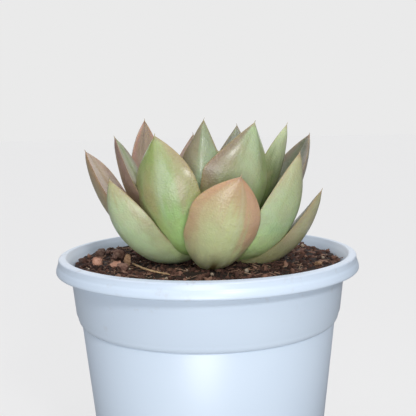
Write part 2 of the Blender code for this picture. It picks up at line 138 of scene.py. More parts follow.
class Graph:
    """Builds a node tree, for a material or for geometry."""

    def __init__(self, tree: bpy.types.NodeTree) -> None:
        """Start on a tree."""
        self.tree = tree

    def node(
        self,
        kind: str,
        settings: Mapping[str, Any] | None = None,
        inputs: Mapping[str | int, Any] | None = None,
        output: str | int = 0,
    ) -> Signal:
        """Add a node.

        Args:
            kind: the node's type.
            settings: its properties; "stops" are a colour ramp's positions and colours.
            inputs: a value or a Signal for each socket that isn't left as it is.
            output: the socket that is wanted.

        Returns:
            The wanted output.
        """
        made = self.tree.nodes.new(kind)
        for name, value in (settings or {}).items():
            if name == "stops":
                self._set_stops(made.color_ramp, value)
            else:
                setattr(made, name, value)
        for name, value in (inputs or {}).items():
            for part in value if isinstance(value, list) else [value]:
                if isinstance(part, Signal):
                    self.tree.links.new(part.socket, made.inputs[name])
                else:
                    made.inputs[name].default_value = part
        return Signal(self, made.outputs[output])

    @staticmethod
    def _set_stops(ramp: bpy.types.ColorRamp, stops: Sequence[tuple[float, Colour]]) -> None:
        """Set a colour ramp's stops."""
        while len(ramp.elements) < len(stops):
            ramp.elements.new(1.0)
        for element, (position, colour) in zip(ramp.elements, stops):
            element.position = position
            element.color = colour

    def math(self, operation: str, first: Signal | float, second: Signal | float) -> Signal:
        """One Math node."""
        return self.node("ShaderNodeMath", {"operation": operation}, {0: first, 1: second})

    def mix(self, factor: Signal | float, first: Any, second: Any, blend: str = "MIX") -> Signal:
        """Mix two colours."""
        settings = {"data_type": "RGBA", "blend_type": blend}
        return self.node("ShaderNodeMix", settings, {0: factor, 6: first, 7: second}, 2)

    def attribute(self, name: str) -> Signal:
        """A number that the mesh carries."""
        return self.node("ShaderNodeAttribute", {"attribute_name": name}, output="Fac")

    def place(self) -> Signal:
        """Object coordinates."""
        return self.node("ShaderNodeTexCoord", output="Object")

    def noise(self, vector: Signal, scale: float, detail: float = 3.0, rough: float = 0.55) -> Signal:
        """Noise around a half. Scale is in waves to the metre on Object coordinates."""
        inputs = {"Vector": vector, "Scale": scale, "Detail": detail, "Roughness": rough}
        return self.node("ShaderNodeTexNoise", inputs=inputs)

    def cells(self, vector: Signal, scale: float, feature: str = "F1") -> Signal:
        """Distance to the nearest point of a cell pattern."""
        return self.node("ShaderNodeTexVoronoi", {"feature": feature}, {"Vector": vector, "Scale": scale})

    def spread(self, x: Signal | float, y: Signal | float, z: Signal | float) -> Signal:
        """A vector from three numbers."""
        return self.node("ShaderNodeCombineXYZ", inputs={0: x, 1: y, 2: z})

    def bump(self, height: Signal, distance: float, strength: float, below: Signal | None = None) -> Signal:
        """A normal from a height, over an earlier normal."""
        inputs: dict[str | int, Any] = {"Height": height, "Distance": distance, "Strength": strength}
        if below:
            inputs["Normal"] = below
        return self.node("ShaderNodeBump", inputs=inputs)


def new_finish(name: str, build: Callable[[Graph], Mapping[str, Any]]) -> bpy.types.Material:
    """A Principled material.

    Args:
        name: of the material.
        build: adds the nodes, and returns the value or the Signal of each of the shader's sockets.

    Returns:
        The material.
    """
    made = bpy.data.materials.new(name)
    made.use_nodes = True
    graph = Graph(made.node_tree)
    shader = made.node_tree.nodes["Principled BSDF"]
    for socket, value in build(graph).items():
        if isinstance(value, Signal):
            made.node_tree.links.new(value.socket, shader.inputs[socket])
        else:
            shader.inputs[socket].default_value = value
    return made


# Meshes ---------------------------------------------------------------------------------------


def add_piece(name: str, mesh: bpy.types.Mesh, finish: bpy.types.Material | None = None) -> bpy.types.Object:
    """An object of a mesh, in the scene."""
    made = bpy.data.objects.new(name, mesh)
    if finish:
        mesh.materials.clear()
        mesh.materials.append(finish)
    bpy.context.scene.collection.objects.link(made)
    return made


def mesh_of(name: str, shape: bmesh.types.BMesh, outwards: bool = True) -> bpy.types.Mesh:
    """A smooth mesh of what a bmesh holds, facing out."""
    if outwards:
        bmesh.ops.recalc_face_normals(shape, faces=shape.faces)
    mesh = bpy.data.meshes.new(name)
    shape.to_mesh(mesh)
    shape.free()
    mesh.shade_smooth()
    return mesh


def baked(made: bpy.types.Object) -> bpy.types.Object:
    """The object with its modifiers made into its mesh."""
    bpy.context.view_layer.update()
    depsgraph = bpy.context.evaluated_depsgraph_get()
    mesh = bpy.data.meshes.new_from_object(made.evaluated_get(depsgraph))
    made.modifiers.clear()
    made.data = mesh
    return made


def turned(name: str, profile: Sequence[Point], steps: int) -> bpy.types.Mesh:
    """A solid turned from a profile that starts and ends on the axis."""
    shape = bmesh.new()
    corners = [shape.verts.new((radius, 0, height)) for radius, height in profile]
    edges = [shape.edges.new(pair) for pair in zip(corners, corners[1:])]
    bmesh.ops.spin(
        shape, geom=[*corners, *edges], cent=(0, 0, 0), axis=(0, 0, 1), angle=math.tau, steps=steps
    )
    bmesh.ops.remove_doubles(shape, verts=shape.verts, dist=0.00001)
    return mesh_of(name, shape)


def rounded(points: Sequence[Point], radius: float, steps: int = 4) -> list[Point]:
    """A profile with its corners rounded.

    Args:
        points: radii and heights.
        radius: length that each rounding takes from the lines beside it, where they are long enough.
        steps: points to a corner.

    Returns:
        Radii and heights of the rounded profile.
    """
    found = [points[0]]
    for before, corner, after in zip(points, points[1:], points[2:]):
        here, back, on = Vector(corner), Vector(before), Vector(after)
        start = here + (back - here) * min(0.5, radius / max((back - here).length, 1e-9))
        end = here + (on - here) * min(0.5, radius / max((on - here).length, 1e-9))
        for number in range(steps + 1):
            share = number / steps
            spot = start * (1 - share) ** 2 + here * 2 * share * (1 - share) + end * share**2
            found.append((spot.x, spot.y))
    return [*found, points[-1]]


def report(piece: bpy.types.Object, slot: str, *nodes: str) -> bpy.types.Object:
    """Hand a finished piece to the frame and log it."""
    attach(piece, BODY)
    if nodes:
        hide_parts(*nodes)
    log.info("%s: %d faces", piece.name, len(piece.data.polygons))
    return piece


# Pot ------------------------------------------------------------------------------------------


@dataclass(frozen=True)
class PotPlastic:
    """Pale blue-white moulded polypropylene, satin, with rubs, a few specks of soil and painted shade on the
    rim's crest.
    """

    colour: Colour = shade("#d3e1ef")
    shadow: Colour = shade("#c8d7e9")
    dust: Colour = shade("#a89a8c")
    roughness: float = 0.36

    def build(self, rim_height: float) -> bpy.types.Material:
        """The material, with dust near the rim and painted shade on its crest; the rim's top is at a height
        in metres.
        """

        def nodes(graph: Graph) -> Mapping[str, Any]:
            place = graph.place()
            height = graph.node("ShaderNodeSeparateXYZ", inputs={0: place}, output="Z")
            cloud = graph.noise(place, 22, 2)
            rubs = graph.noise(place, 160, 6, 0.7).step(0.58, 0.72)
            specks = 1 - graph.cells(place, 190).step(0.028, 0.05)
            sparse = graph.noise(place, 60, 1).step(0.56, 0.64)
            band = height.step(rim_height - 0.024, rim_height - 0.017)
            crest = height.step(rim_height - 0.0016, rim_height - 0.0004)
            colour = graph.mix(cloud, self.colour, self.shadow)
            colour = graph.mix(rubs * band * 0.16, colour, self.dust)
            colour = graph.mix(specks * sparse * band * 0.5, colour, self.dust)
            # painted shade: the rim's upward-facing crest is greyed, more where the rubs are
            colour = graph.mix(crest * (0.18 + 0.3 * rubs), colour, shade("#a7a6b0"))
            grain = graph.noise(place, 2600, 2, 0.6)
            ripple = graph.noise(place, 70, 2)
            return {
                "Base Color": colour,
                "Roughness": self.roughness + 0.12 * rubs + 0.06 * (cloud - 0.5),
                "Normal": graph.bump(grain, 0.00003, 0.12, graph.bump(ripple, 0.0004, 0.1)),
                "Coat Weight": 0.12,
                "Coat Roughness": 0.25,
            }

        return new_finish("pot_plastic", nodes)


@dataclass
class NurseryPot:
    """The turned pot: tapered body, proud upper band, flared mouth and a hollow skirted rim."""

    height: float = 95.4 * MM
    foot_radius: float = 38.9 * MM
    rim_radius: float = 54.5 * MM
    wall: float = 1.4 * MM
    skirt_flare: float = 1.1 * MM
    skirt_drop: float = 5.5 * MM
    crest_width: float = 2.3 * MM
    crest_fall: float = 0.4 * MM
    rim_overhang: float = 1.6 * MM
    rim_flare: float = 5.2 * MM
    band_drop: float = 23.8 * MM
    band_proud: float = 1.5 * MM
    band_rounding: float = 3.8 * MM
    crease: float = 0.3 * MM  # depth of the groove under the band
    rim_softness: float = 0.35 * MM
    foot_softness: float = 0.3 * MM
    foot_chamfer: float = 0.8 * MM
    foot_width: float = 4.0 * MM
    foot_recess: float = 1.5 * MM
    floor: float = 1.6 * MM
    drain_radius: float = 3.5 * MM
    drain_circle: float = 23.0 * MM
    drains: int = 5
    steps: int = 192
    plastic: PotPlastic = field(default_factory=PotPlastic)

    @property
    def crest_outer(self) -> float:
        """Radius of the crest's outer edge."""
        return self.rim_radius - self.skirt_flare

    @property
    def crest_inner(self) -> float:
        """Radius of the crest's inner edge."""
        return self.crest_outer - self.crest_width

    @property
    def flare_start(self) -> float:
        """Height at which the wall starts to flare into the rim."""
        return self.height - self.rim_flare

    @property
    def band_start(self) -> float:
        """Height of the crease under the upper band."""
        return self.height - self.band_drop

    def body_radius(self, height: float) -> float:
        """Outer radius of the taper, without the band."""
        top = self.crest_inner - self.rim_overhang - self.band_proud
        return self.foot_radius + (top - self.foot_radius) * height / self.flare_start

    def inner_wall(self) -> list[Point]:
        """The inner wall from the floor to the crest, as radii and heights."""
        floor_top = self.foot_recess + self.floor
        band_foot = self.band_start + self.band_rounding
        lower = [
            (self.body_radius(z) - self.wall, z)
            for z in (floor_top + self.wall, self.band_start - self.wall)
        ]
        upper = [
            (self.body_radius(z) + self.band_proud - self.wall, z)
            for z in (band_foot - self.wall, self.flare_start)
        ]
        reach = self.crest_inner - upper[-1][0]
        flare = [
            (upper[-1][0] + share * reach, self.flare_start + rise * self.rim_flare)
            for share, rise in ((0.13, 0.24), (0.5, 0.62), (0.88, 0.93), (1.0, 0.99))
        ]
        return [(lower[0][0] - self.wall, floor_top), *lower, *upper, *flare]

    def wall_radius(self, height: float) -> float:
        """Radius of the inner wall at a height."""
        points = self.inner_wall()
        for (low_r, low_z), (high_r, high_z) in zip(points, points[1:]):
            if low_z <= height <= high_z:
                return low_r + (high_r - low_r) * (height - low_z) / (high_z - low_z)
        return self.crest_inner

    def profile(self) -> list[Point]:
        """The whole section, from the middle of the floor round to the middle of the underside."""
        lip = self.height - self.skirt_drop
        skirt_in = self.rim_radius - 0.5 * self.wall
        web_foot, web_middle = self.inner_wall()[5:7]
        rim = [
            (self.crest_inner + 0.15 * self.crest_width, self.height),
            (self.crest_outer - 0.15 * self.crest_width, self.height - 0.75 * self.crest_fall),
            (self.crest_outer + 0.05 * self.crest_width, self.height - 1.5 * self.crest_fall),
            (self.crest_outer + 0.26 * self.skirt_flare, self.height - 0.44 * self.skirt_drop),
            (self.crest_outer + 0.61 * self.skirt_flare, self.height - 0.56 * self.skirt_drop),
            (self.crest_outer + 0.91 * self.skirt_flare, self.height - 0.76 * self.skirt_drop),
            (self.rim_radius, lip + 0.6 * MM),
            (self.rim_radius - 0.2 * MM, lip + 0.15 * MM),
            (self.rim_radius - 0.7 * MM, lip),
            (self.rim_radius - 1.3 * MM, lip + 0.2 * MM),
            (skirt_in - 1.0 * MM, lip + 0.9 * MM),
            (skirt_in - 1.8 * MM, lip + 2.4 * MM),
            (self.crest_outer - 0.35 * self.wall, lip + 3.0 * MM),
            (web_middle[0] + 0.95 * self.wall, web_middle[1] - 0.05 * self.wall),
            (web_foot[0] + 0.95 * self.wall, web_foot[1] - 0.45 * self.wall),
        ]
        band_foot = self.band_start + self.band_rounding
        band_ends = (self.flare_start - 0.3 * self.wall, band_foot)
        band = [(self.body_radius(z) + self.band_proud, z) for z in band_ends]
        turn = [
            (
                self.body_radius(self.band_start) + self.band_proud * math.sin(math.radians(angle)),
                self.band_start + self.band_rounding * (1 - math.cos(math.radians(angle))),
            )
            for angle in (75, 60, 45, 30, 15, 4)
        ]
        turn += [
            (self.body_radius(self.band_start) - self.crease, self.band_start - 0.1 * MM),
            (self.body_radius(self.band_start) - 0.02 * MM, self.band_start - 0.75 * MM),
        ]
        ring = self.foot_radius - self.foot_chamfer
        foot = [
            (self.body_radius(self.foot_chamfer), self.foot_chamfer),
            (ring, 0),
            (ring - self.foot_width, 0),
            (ring - self.foot_width - self.foot_recess, self.foot_recess),
            (0, self.foot_recess),
        ]
        middle = (0, self.foot_recess + self.floor)
        upper = rounded([*self.inner_wall(), *rim, *band], self.rim_softness)
        return [middle, *upper, *turn, *rounded(foot, self.foot_softness)]

    def build(self) -> bpy.types.Object:
        """The pot, with its drain holes, in place of the solid one."""
        pot = add_piece("nursery_pot", turned("nursery_pot", self.profile(), self.steps))
        drills = []
        for number in range(self.drains):
            angle = math.tau * (number + 0.5) / self.drains
            centre = Vector((math.cos(angle), math.sin(angle), 0)) * self.drain_circle
            shape = bmesh.new()
            bmesh.ops.create_cone(
                shape,
                cap_ends=True,
                segments=40,
                radius1=self.drain_radius,
                radius2=self.drain_radius,
                depth=4 * (self.foot_recess + self.floor),
                matrix=Matrix.Translation(centre),
            )
            drill = add_piece(f"drill_{number + 1}", mesh_of("drill", shape))
            hole = pot.modifiers.new(f"drain_{number + 1}", "BOOLEAN")
            hole.object = drill
            hole.solver = "EXACT"
            drills.append(drill)
        baked(pot)
        for drill in drills:
            bpy.data.objects.remove(drill)
        pot.data.materials.clear()
        pot.data.materials.append(self.plastic.build(self.height))
        pot.data.shade_smooth()
        pot.data.set_sharp_from_angle(angle=math.radians(42))
        return report(pot, "pot_plastic", "pot")


# Soil -----------------------------------------------------------------------------------------


@dataclass(frozen=True)
class Mix:
    """A potting mix finish: earth colours that vary from grain to grain."""

    name: str
    dark: Colour
    body: Colour
    light: Colour
    roughness: float = 0.92
    grit: float = 1400.0

    def build(self) -> bpy.types.Material:
        """The material. Each grain's own number, in the mesh, sets its colour."""

        def nodes(graph: Graph) -> Mapping[str, Any]:
            place = graph.place()
            own = graph.attribute("tint")
            clump = graph.noise(place, 120, 3)
            fine = graph.noise(place, self.grit, 4, 0.65)
            stops = [(0.0, self.dark), (0.55, self.body), (1.0, self.light)]
            tone = (0.55 * own + 0.5 * clump + 0.35 * (fine - 0.5)).step(0.1, 0.95)
            colour = graph.node("ShaderNodeValToRGB", {"stops": stops}, {0: tone})
            return {
                "Base Color": colour,
                "Roughness": self.roughness - 0.25 * clump.step(0.5, 0.75),
                "Normal": graph.bump(fine, 0.00025, 0.6),
            }

        return new_finish(self.name, nodes)


class Grain(Enum):
    """Shapes that are strewn over the soil."""

    CRUMB = "crumb"
    CHIP = "chip"
    FIBRE = "fibre"


@dataclass(frozen=True)
class Strewing:
    """One kind of grain over the soil bed."""

    name: str
    grain: Grain
    finish: Mix
    density: float  # to the square metre
    small: float
    large: float
    seed: int
    stretch: tuple[float, float, float] = (1.0, 1.0, 1.0)
    tilt: float = math.pi

    def shape(self, graph: Graph, number: int) -> Signal:
        """One of the grain's variants, about a unit across."""
        position = graph.node("GeometryNodeInputPosition")
        if self.grain is Grain.FIBRE:
            bow = 0.12 * (number - 1)
            middle = (0, bow, 0.12)
            inputs = {"Resolution": 5, "Start": (-0.5, 0, 0), "Middle": middle, "End": (0.5, 0, 0)}
            line = graph.node("GeometryNodeCurveQuadraticBezier", inputs=inputs)
            ring = graph.node("GeometryNodeCurvePrimitiveCircle", inputs={"Resolution": 4, "Radius": 0.026})
            inputs = {"Curve": line, "Profile Curve": ring, "Fill Caps": True}
            return graph.node("GeometryNodeCurveToMesh", inputs=inputs)
        if self.grain is Grain.CHIP:
            inputs = {"Size": (1.0, 0.62, 0.3), "Vertices X": 3, "Vertices Y": 3, "Vertices Z": 2}
            solid = graph.node("GeometryNodeMeshCube", inputs=inputs)
        else:
            inputs = {"Radius": 0.5, "Subdivisions": 2}
            solid = graph.node("GeometryNodeMeshIcoSphere", inputs=inputs)
        settings, inputs = {"noise_dimensions": "4D"}, {"Vector": position, "W": 3.1 * number, "Scale": 2.2}
        lump = graph.node("ShaderNodeTexNoise", settings, inputs, "Color")
        centred = graph.node("ShaderNodeVectorMath", {"operation": "SUBTRACT"}, {0: lump, 1: (0.5, 0.5, 0.5)})
        shift = graph.node("ShaderNodeVectorMath", {"operation": "SCALE"}, {0: centred, "Scale": 0.9})
        return graph.node("GeometryNodeSetPosition", inputs={"Geometry": solid, "Offset": shift})

    def tree(self) -> bpy.types.NodeTree:
        """The Geometry Nodes tree: points on the bed, a varied grain on each, made real."""
        tree = bpy.data.node_groups.new(f"strew_{self.name}", "GeometryNodeTree")
        face = tree.interface
        face.new_socket("Geometry", in_out="OUTPUT", socket_type="NodeSocketGeometry")
        face.new_socket("Geometry", in_out="INPUT", socket_type="NodeSocketGeometry")
        for name, kind in (
            ("Density", "NodeSocketFloat"),
            ("Small", "NodeSocketFloat"),
            ("Large", "NodeSocketFloat"),
            ("Seed", "NodeSocketInt"),
            ("Finish", "NodeSocketMaterial"),
        ):
            face.new_socket(name, in_out="INPUT", socket_type=kind)
        graph = Graph(tree)
        given = tree.nodes.new("NodeGroupInput")

        def asked(name: str) -> Signal:
            """One of the tree's inputs."""
            return Signal(graph, given.outputs[name])

        points = graph.node(
            "GeometryNodeDistributePointsOnFaces",
            inputs={"Mesh": asked("Geometry"), "Density": asked("Density"), "Seed": asked("Seed")},
        )
        variants = [
            graph.node("GeometryNodeGeometryToInstance", inputs={"Geometry": self.shape(graph, number)})
            for number in range(4)
        ]
        grains = graph.node("GeometryNodeJoinGeometry", inputs={"Geometry": variants})
        turn = graph.node(
            "FunctionNodeRandomValue",
            {"data_type": "FLOAT_VECTOR"},
            {0: (-self.tilt, -self.tilt, 0), 1: (self.tilt, self.tilt, math.tau), "Seed": asked("Seed")},
        )
        size = graph.node(
            "FunctionNodeRandomValue",
            inputs={2: asked("Small"), 3: asked("Large"), "Seed": asked("Seed") + 7},
            output=1,
        )
        scale = graph.node("ShaderNodeVectorMath", {"operation": "SCALE"}, {0: self.stretch, "Scale": size})
        which = graph.node("FunctionNodeRandomValue", {"data_type": "INT"}, {4: 0, 5: 3}, 2)
        placed = graph.node(
            "GeometryNodeInstanceOnPoints",
            inputs={
                "Points": points,
                "Instance": grains,
                "Pick Instance": True,
                "Instance Index": which,
                "Rotation": turn,
                "Scale": scale,
            },
        )
        own = graph.node("FunctionNodeRandomValue", inputs={2: 0.0, 3: 1.0, "Seed": 11}, output=1)
        tinted = graph.node(
            "GeometryNodeStoreNamedAttribute",
            {"data_type": "FLOAT", "domain": "INSTANCE"},
            {"Geometry": placed, "Name": "tint", "Value": own},
        )
        real = graph.node("GeometryNodeRealizeInstances", inputs={"Geometry": tinted})
        done = graph.node(
            "GeometryNodeSetMaterial", inputs={"Geometry": real, "Material": asked("Finish")}
        )
        out = tree.nodes.new("NodeGroupOutput")
        tree.links.new(done.socket, out.inputs[0])
        return tree

    def build(self, ground: bpy.types.Mesh) -> bpy.types.Object:
        """The strewn grains as one plain mesh.

        Args:
            ground: mesh that they lie on.

        Returns:
            The piece.
        """
        made = add_piece(self.name, ground.copy())
        tree = self.tree()
        strew = made.modifiers.new("strew", "NODES")
        strew.node_group = tree
        values = {
            "Density": self.density,
            "Small": self.small,
            "Large": self.large,
            "Seed": self.seed,
            "Finish": self.finish.build(),
        }
        for item in tree.interface.items_tree:
            if item.in_out == "INPUT" and item.name in values:
                strew[item.identifier] = values[item.name]
        baked(made)
        made.data.shade_smooth()
        return report(made, "soil")


@dataclass
class SoilBed:
    """The potting mix: a bed with an uneven top, and what is strewn over it."""

    pot: NurseryPot
    drop: float = 3.1 * MM
    hollow: float = 1.3 * MM
    relief: float = 0.5 * MM
    gap: float = 0.3 * MM  # to the wall and the floor
    swell_size: float = 7 * MM
    lump_size: float = 2.1 * MM
    crumb_size: float = 0.9 * MM
    rings: int = 46
    spokes: int = 180
    bed: Mix = field(
        default_factory=lambda: Mix("soil_mix", shade("#20130f"), shade("#3c2820"), shade("#5c4136"))
    )

    @property
    def top(self) -> float:
        """Height of the highest soil."""
        return self.pot.height - self.drop

    def height_at(self, x: float, y: float) -> float:
        """Height of the soil's surface at a place."""
        dip = max(0.0, min(1.0, 0.5 + 0.5 * noise.noise(Vector((x, y, 0)) / self.swell_size)))
        lumps = noise.noise(Vector((x, y, 5 * MM)) / self.lump_size)
        crumbs = noise.noise(Vector((x, y, 9 * MM)) / self.crumb_size)
        return self.top - self.hollow * dip + self.relief * (lumps + 0.5 * crumbs)

    def surface(self, reach: float) -> bmesh.types.BMesh:
        """The bed's top out to a radius, as a bmesh of rings round a centre."""
        shape = bmesh.new()
        middle = shape.verts.new((0, 0, self.height_at(0, 0)))
        last: list[bmesh.types.BMVert] = []
        for ring in range(1, self.rings + 1):
            radius = reach * ring / self.rings
            corners = []
            for spoke in range(self.spokes):
                angle = math.tau * spoke / self.spokes
                x, y = radius * math.cos(angle), radius * math.sin(angle)
                corners.append(shape.verts.new((x, y, self.height_at(x, y))))
            for number in range(self.spokes):
                after = (number + 1) % self.spokes
                if last:
                    shape.faces.new((last[number], corners[number], corners[after], last[after]))
                else:
                    shape.faces.new((middle, corners[number], corners[after]))
            last = corners
        return shape

    def build_bed(self) -> bpy.types.Object:
        """The bed itself, closed down the wall and across the floor."""
        reach = self.pot.wall_radius(self.top - self.hollow) - self.gap
        shape = self.surface(reach)
        shape.verts.ensure_lookup_table()
        last = list(shape.verts)[-self.spokes :]
        side = [point for point in reversed(self.pot.inner_wall()) if point[1] < self.top - 2 * self.hollow]
        for radius, z in side:
            corners = []
            for spoke in range(self.spokes):
                angle = math.tau * spoke / self.spokes
                out = radius - self.gap
                corners.append(shape.verts.new((out * math.cos(angle), out * math.sin(angle), z + self.gap)))
            for number in range(self.spokes):
                after = (number + 1) % self.spokes
                shape.faces.new((last[number], corners[number], corners[after], last[after]))
            last = corners
        shape.faces.new(last)
        piece = add_piece("soil_bed", mesh_of("soil_bed", shape), self.bed.build())
        return report(piece, "soil", "potting_soil")

    def build(self) -> None:
        """The bed and everything strewn over it."""
        self.build_bed()
        reach = self.pot.wall_radius(self.top - self.hollow) - 0.7 * MM
        ground = mesh_of("ground", self.surface(reach), outwards=False)
        dark, brown, light = shade("#2a1712"), shade("#573a2f"), shade("#946d5b")
        fine = Mix("soil_fine", dark, shade("#482d24"), shade("#6f4c3f"))
        lump = Mix("soil_lump", dark, brown, light)
        strip = Mix("soil_strip", shade("#3a241c"), shade("#6a493c"), shade("#a3806c"), 0.85)
        fibre = Mix("soil_fibre", shade("#4d3327"), shade("#8e6b55"), shade("#c4a489"), 0.8)
        speck = Mix("soil_speck", shade("#a39281"), shade("#d3c4b0"), shade("#f0e4d4"), 0.8)
        long, lying = (2.3, 0.75, 0.5), 0.6
        strewings = (
            Strewing("soil_fines", Grain.CRUMB, fine, 150000, 0.7 * MM, 1.5 * MM, 3),
            Strewing("soil_lumps", Grain.CRUMB, lump, 34000, 1.3 * MM, 3.0 * MM, 5, (1.4, 0.8, 0.6)),
            Strewing("soil_strips", Grain.CRUMB, strip, 30000, 1.1 * MM, 2.4 * MM, 8, long, lying),
            Strewing("soil_chips", Grain.CHIP, strip, 5000, 1.5 * MM, 3.0 * MM, 10, tilt=lying),
            Strewing("soil_fibres", Grain.FIBRE, fibre, 90000, 2.0 * MM, 5.0 * MM, 13, tilt=0.5),
            Strewing("soil_coir", Grain.FIBRE, strip, 30000, 2.5 * MM, 5.0 * MM, 17, (1.0, 1.5, 1.5), 0.5),
            Strewing("soil_specks", Grain.CRUMB, speck, 9000, 0.4 * MM, 1.0 * MM, 21),
        )
        for strewing in strewings:
            strewing.build(ground)


# Things lying on the soil -----------------------------------------------------------------------


@dataclass(frozen=True)
class BarkFinish:
    """Dry bark: layered, fibrous, darker in its pores."""

    name: str
    dark: Colour
    body: Colour
    light: Colour

    def build(self) -> bpy.types.Material:
        """The material, its layers drawn out along one slanting direction."""

        def nodes(graph: Graph) -> Mapping[str, Any]:
            place = graph.place()
            inputs = {0: place, "Scale": (4.0, 1.0, 1.0), "Rotation": (0.2, 0.5, 0.4)}
            mapped = graph.node("ShaderNodeMapping", {"vector_type": "TEXTURE"}, inputs)
            layers = graph.noise(mapped, 1500, 5, 0.6)
            pores = graph.cells(place, 1100).step(0.0, 0.35)
            clump = graph.noise(place, 350, 2)
            stops = [(0.3, self.dark), (0.5, self.body), (0.7, self.light)]
            tone = 0.5 * layers + 0.5 * clump
            colour = graph.node("ShaderNodeValToRGB", {"stops": stops}, {0: tone})
            colour = graph.mix(0.45 * (1 - pores), colour, self.dark)
            return {
                "Base Color": colour,
                "Roughness": 0.82 - 0.12 * clump,
                "Normal": graph.bump(layers + 0.4 * pores, 0.0004, 0.7),
            }

        return new_finish(self.name, nodes)


@dataclass(frozen=True)
class Litter:
    """Bark, perlite and a dry stalk on the soil. The solid pieces give the bark's and the perlite's places
    and sizes, and the stalk's height.
    """

    pot: NurseryPot
    soil: SoilBed
    reds: tuple[str, ...] = ("bark_flake_red", "bark_flake_small", "bark_chip_behind")
    darks: tuple[str, ...] = ("bark_block_dark", "bark_chip_wall", "bark_chip_back")
    tans: tuple[str, ...] = ("bark_splinter_upright", "bark_chip_right")
    browns: tuple[str, ...] = ("bark_block_brown", "bark_chip_front")
    grains: int = 6
    broken_size: float = 2.0 * MM  # of the uneven patches of a broken face
    grit_size: float = 0.45 * MM
    stalk_radius: float = 0.38 * MM
    stalk: tuple[tuple[float, float], ...] = ((197, 21.0), (206, 21.5), (219, 21.0), (233, 19.8), (246, 18.6))

    def weathered(self, name: str, cuts: int, rough: float, fine: float, chips: int = 0) -> bpy.types.Mesh:
        """A copy of a solid piece, cut finer and roughened within its own size.

        Args:
            name: the solid piece.
            cuts: rounds of subdivision.
            rough: how deep its broken faces are.
            fine: how deep its fine roughness is.
            chips: corners that are broken off it.

        Returns:
            The mesh.
        """
        shape = bmesh.new()
        shape.from_mesh(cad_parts[name].data)
        bmesh.ops.remove_doubles(shape, verts=shape.verts, dist=0.00001)
        middle = sum((corner.co for corner in shape.verts), Vector()) / len(shape.verts)
        for number in range(chips):
            ahead = noise.random_unit_vector()
            far = max((corner.co - middle).dot(ahead) for corner in shape.verts)
            bmesh.ops.bisect_plane(
                shape,
                geom=[*shape.verts, *shape.edges, *shape.faces],
                plane_co=middle + ahead * far * (0.56 + 0.05 * (number % 7)),
                plane_no=ahead,
                clear_outer=True,
            )
            bmesh.ops.holes_fill(shape, edges=shape.edges, sides=0)
        bmesh.ops.triangulate(shape, faces=shape.faces[:])
        for _ in range(cuts):
            bmesh.ops.subdivide_edges(shape, edges=shape.edges[:], cuts=1, use_grid_fill=True, smooth=0.15)
            bmesh.ops.triangulate(shape, faces=shape.faces[:])
        shape.normal_update()
        moves = []
        for corner in shape.verts:
            broken = noise.noise(corner.co / self.broken_size)
            grit = noise.noise(corner.co / self.grit_size)
            moves.append(corner.normal * (rough * broken + fine * grit))
        for corner, move in zip(shape.verts, moves):
            corner.co += move
        return mesh_of(name, shape)

    def build_bark(self) -> None:
        """Every piece of bark, by colour."""
        noise.seed_set(7)
        kinds = (
            (self.reds, BarkFinish("bark_red", shade("#7d5544"), shade("#c18e77"), shade("#deb49e"))),
            (self.darks, BarkFinish("bark_dark", shade("#33211b"), shade("#644c42"), shade("#8d7264"))),
            (self.tans, BarkFinish("bark_tan", shade("#5a4030"), shade("#a07c5e"), shade("#c9a987"))),
            (self.browns, BarkFinish("bark_brown", shade("#4d342b"), shade("#8a685a"), shade("#b89584"))),
        )
        for names, finish in kinds:
            dressed = finish.build()
            for name in names:
                mesh = self.weathered(name, 3, 0.5 * MM, 0.18 * MM, 12)
                report(add_piece(f"{name}_rough", mesh, dressed), "bark", name)

    def build_perlite(self) -> None:
        """The perlite grains."""
        finish = Mix("perlite", shade("#9a8a78"), shade("#cdbfa9"), shade("#e9dfcd"), 0.85, 2600.0).build()
        for number in range(1, self.grains + 1):
            mesh = self.weathered(f"perlite_{number}", 3, 0.16 * MM, 0.07 * MM)
            report(add_piece(f"perlite_grain_{number}", mesh, finish), "perlite", f"perlite_{number}")

    def build_stalk(self) -> None:
        """The dry stalk: a slightly kinked round stem that tapers at its ends."""
        low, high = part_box("straw")
        level = 0.5 * (low.z + high.z)
        path = []
        for azimuth, inset in self.stalk:
            radius = self.pot.wall_radius(self.soil.top) - inset * MM
            angle = math.radians(azimuth)
            path.append(Vector((radius * math.cos(angle), radius * math.sin(angle), level)))
        curve = bpy.data.curves.new("stalk", "CURVE")
        curve.dimensions = "3D"
        curve.resolution_u = 10
        curve.bevel_depth = self.stalk_radius
        curve.bevel_resolution = 3
        curve.use_fill_caps = True
        spline = curve.splines.new("NURBS")
        spline.points.add(len(path) - 1)
        spline.order_u = 3
        spline.use_endpoint_u = True
        for point, spot, radius in zip(spline.points, path, (0.6, 1.1, 1.0, 0.9, 0.35)):
            point.co = (*spot, 1)
            point.radius = radius
        made = bpy.data.objects.new("dry_stalk", curve)
        bpy.context.scene.collection.objects.link(made)
        bpy.context.view_layer.update()
        mesh = bpy.data.meshes.new_from_object(made.evaluated_get(bpy.context.evaluated_depsgraph_get()))
        bpy.data.objects.remove(made)
        mesh.shade_smooth()
        finish = BarkFinish("dry_stalk", shade("#ad8860"), shade("#d8b68a"), shade("#efd8b2")).build()
        report(add_piece("dry_stalk", mesh, finish), "straw", "straw")

    def build(self) -> None:
        """Everything on the soil."""
        self.build_bark()
        self.build_perlite()
        self.build_stalk()


# Plant ----------------------------------------------------------------------------------------


@dataclass(frozen=True)
class Patch:
    """A soft patch of colour on a leaf's outer face, in shares of its half width and of its length."""

    colour: str
    left: float
    right: float
    low: float
    high: float
    strength: float = 0.8


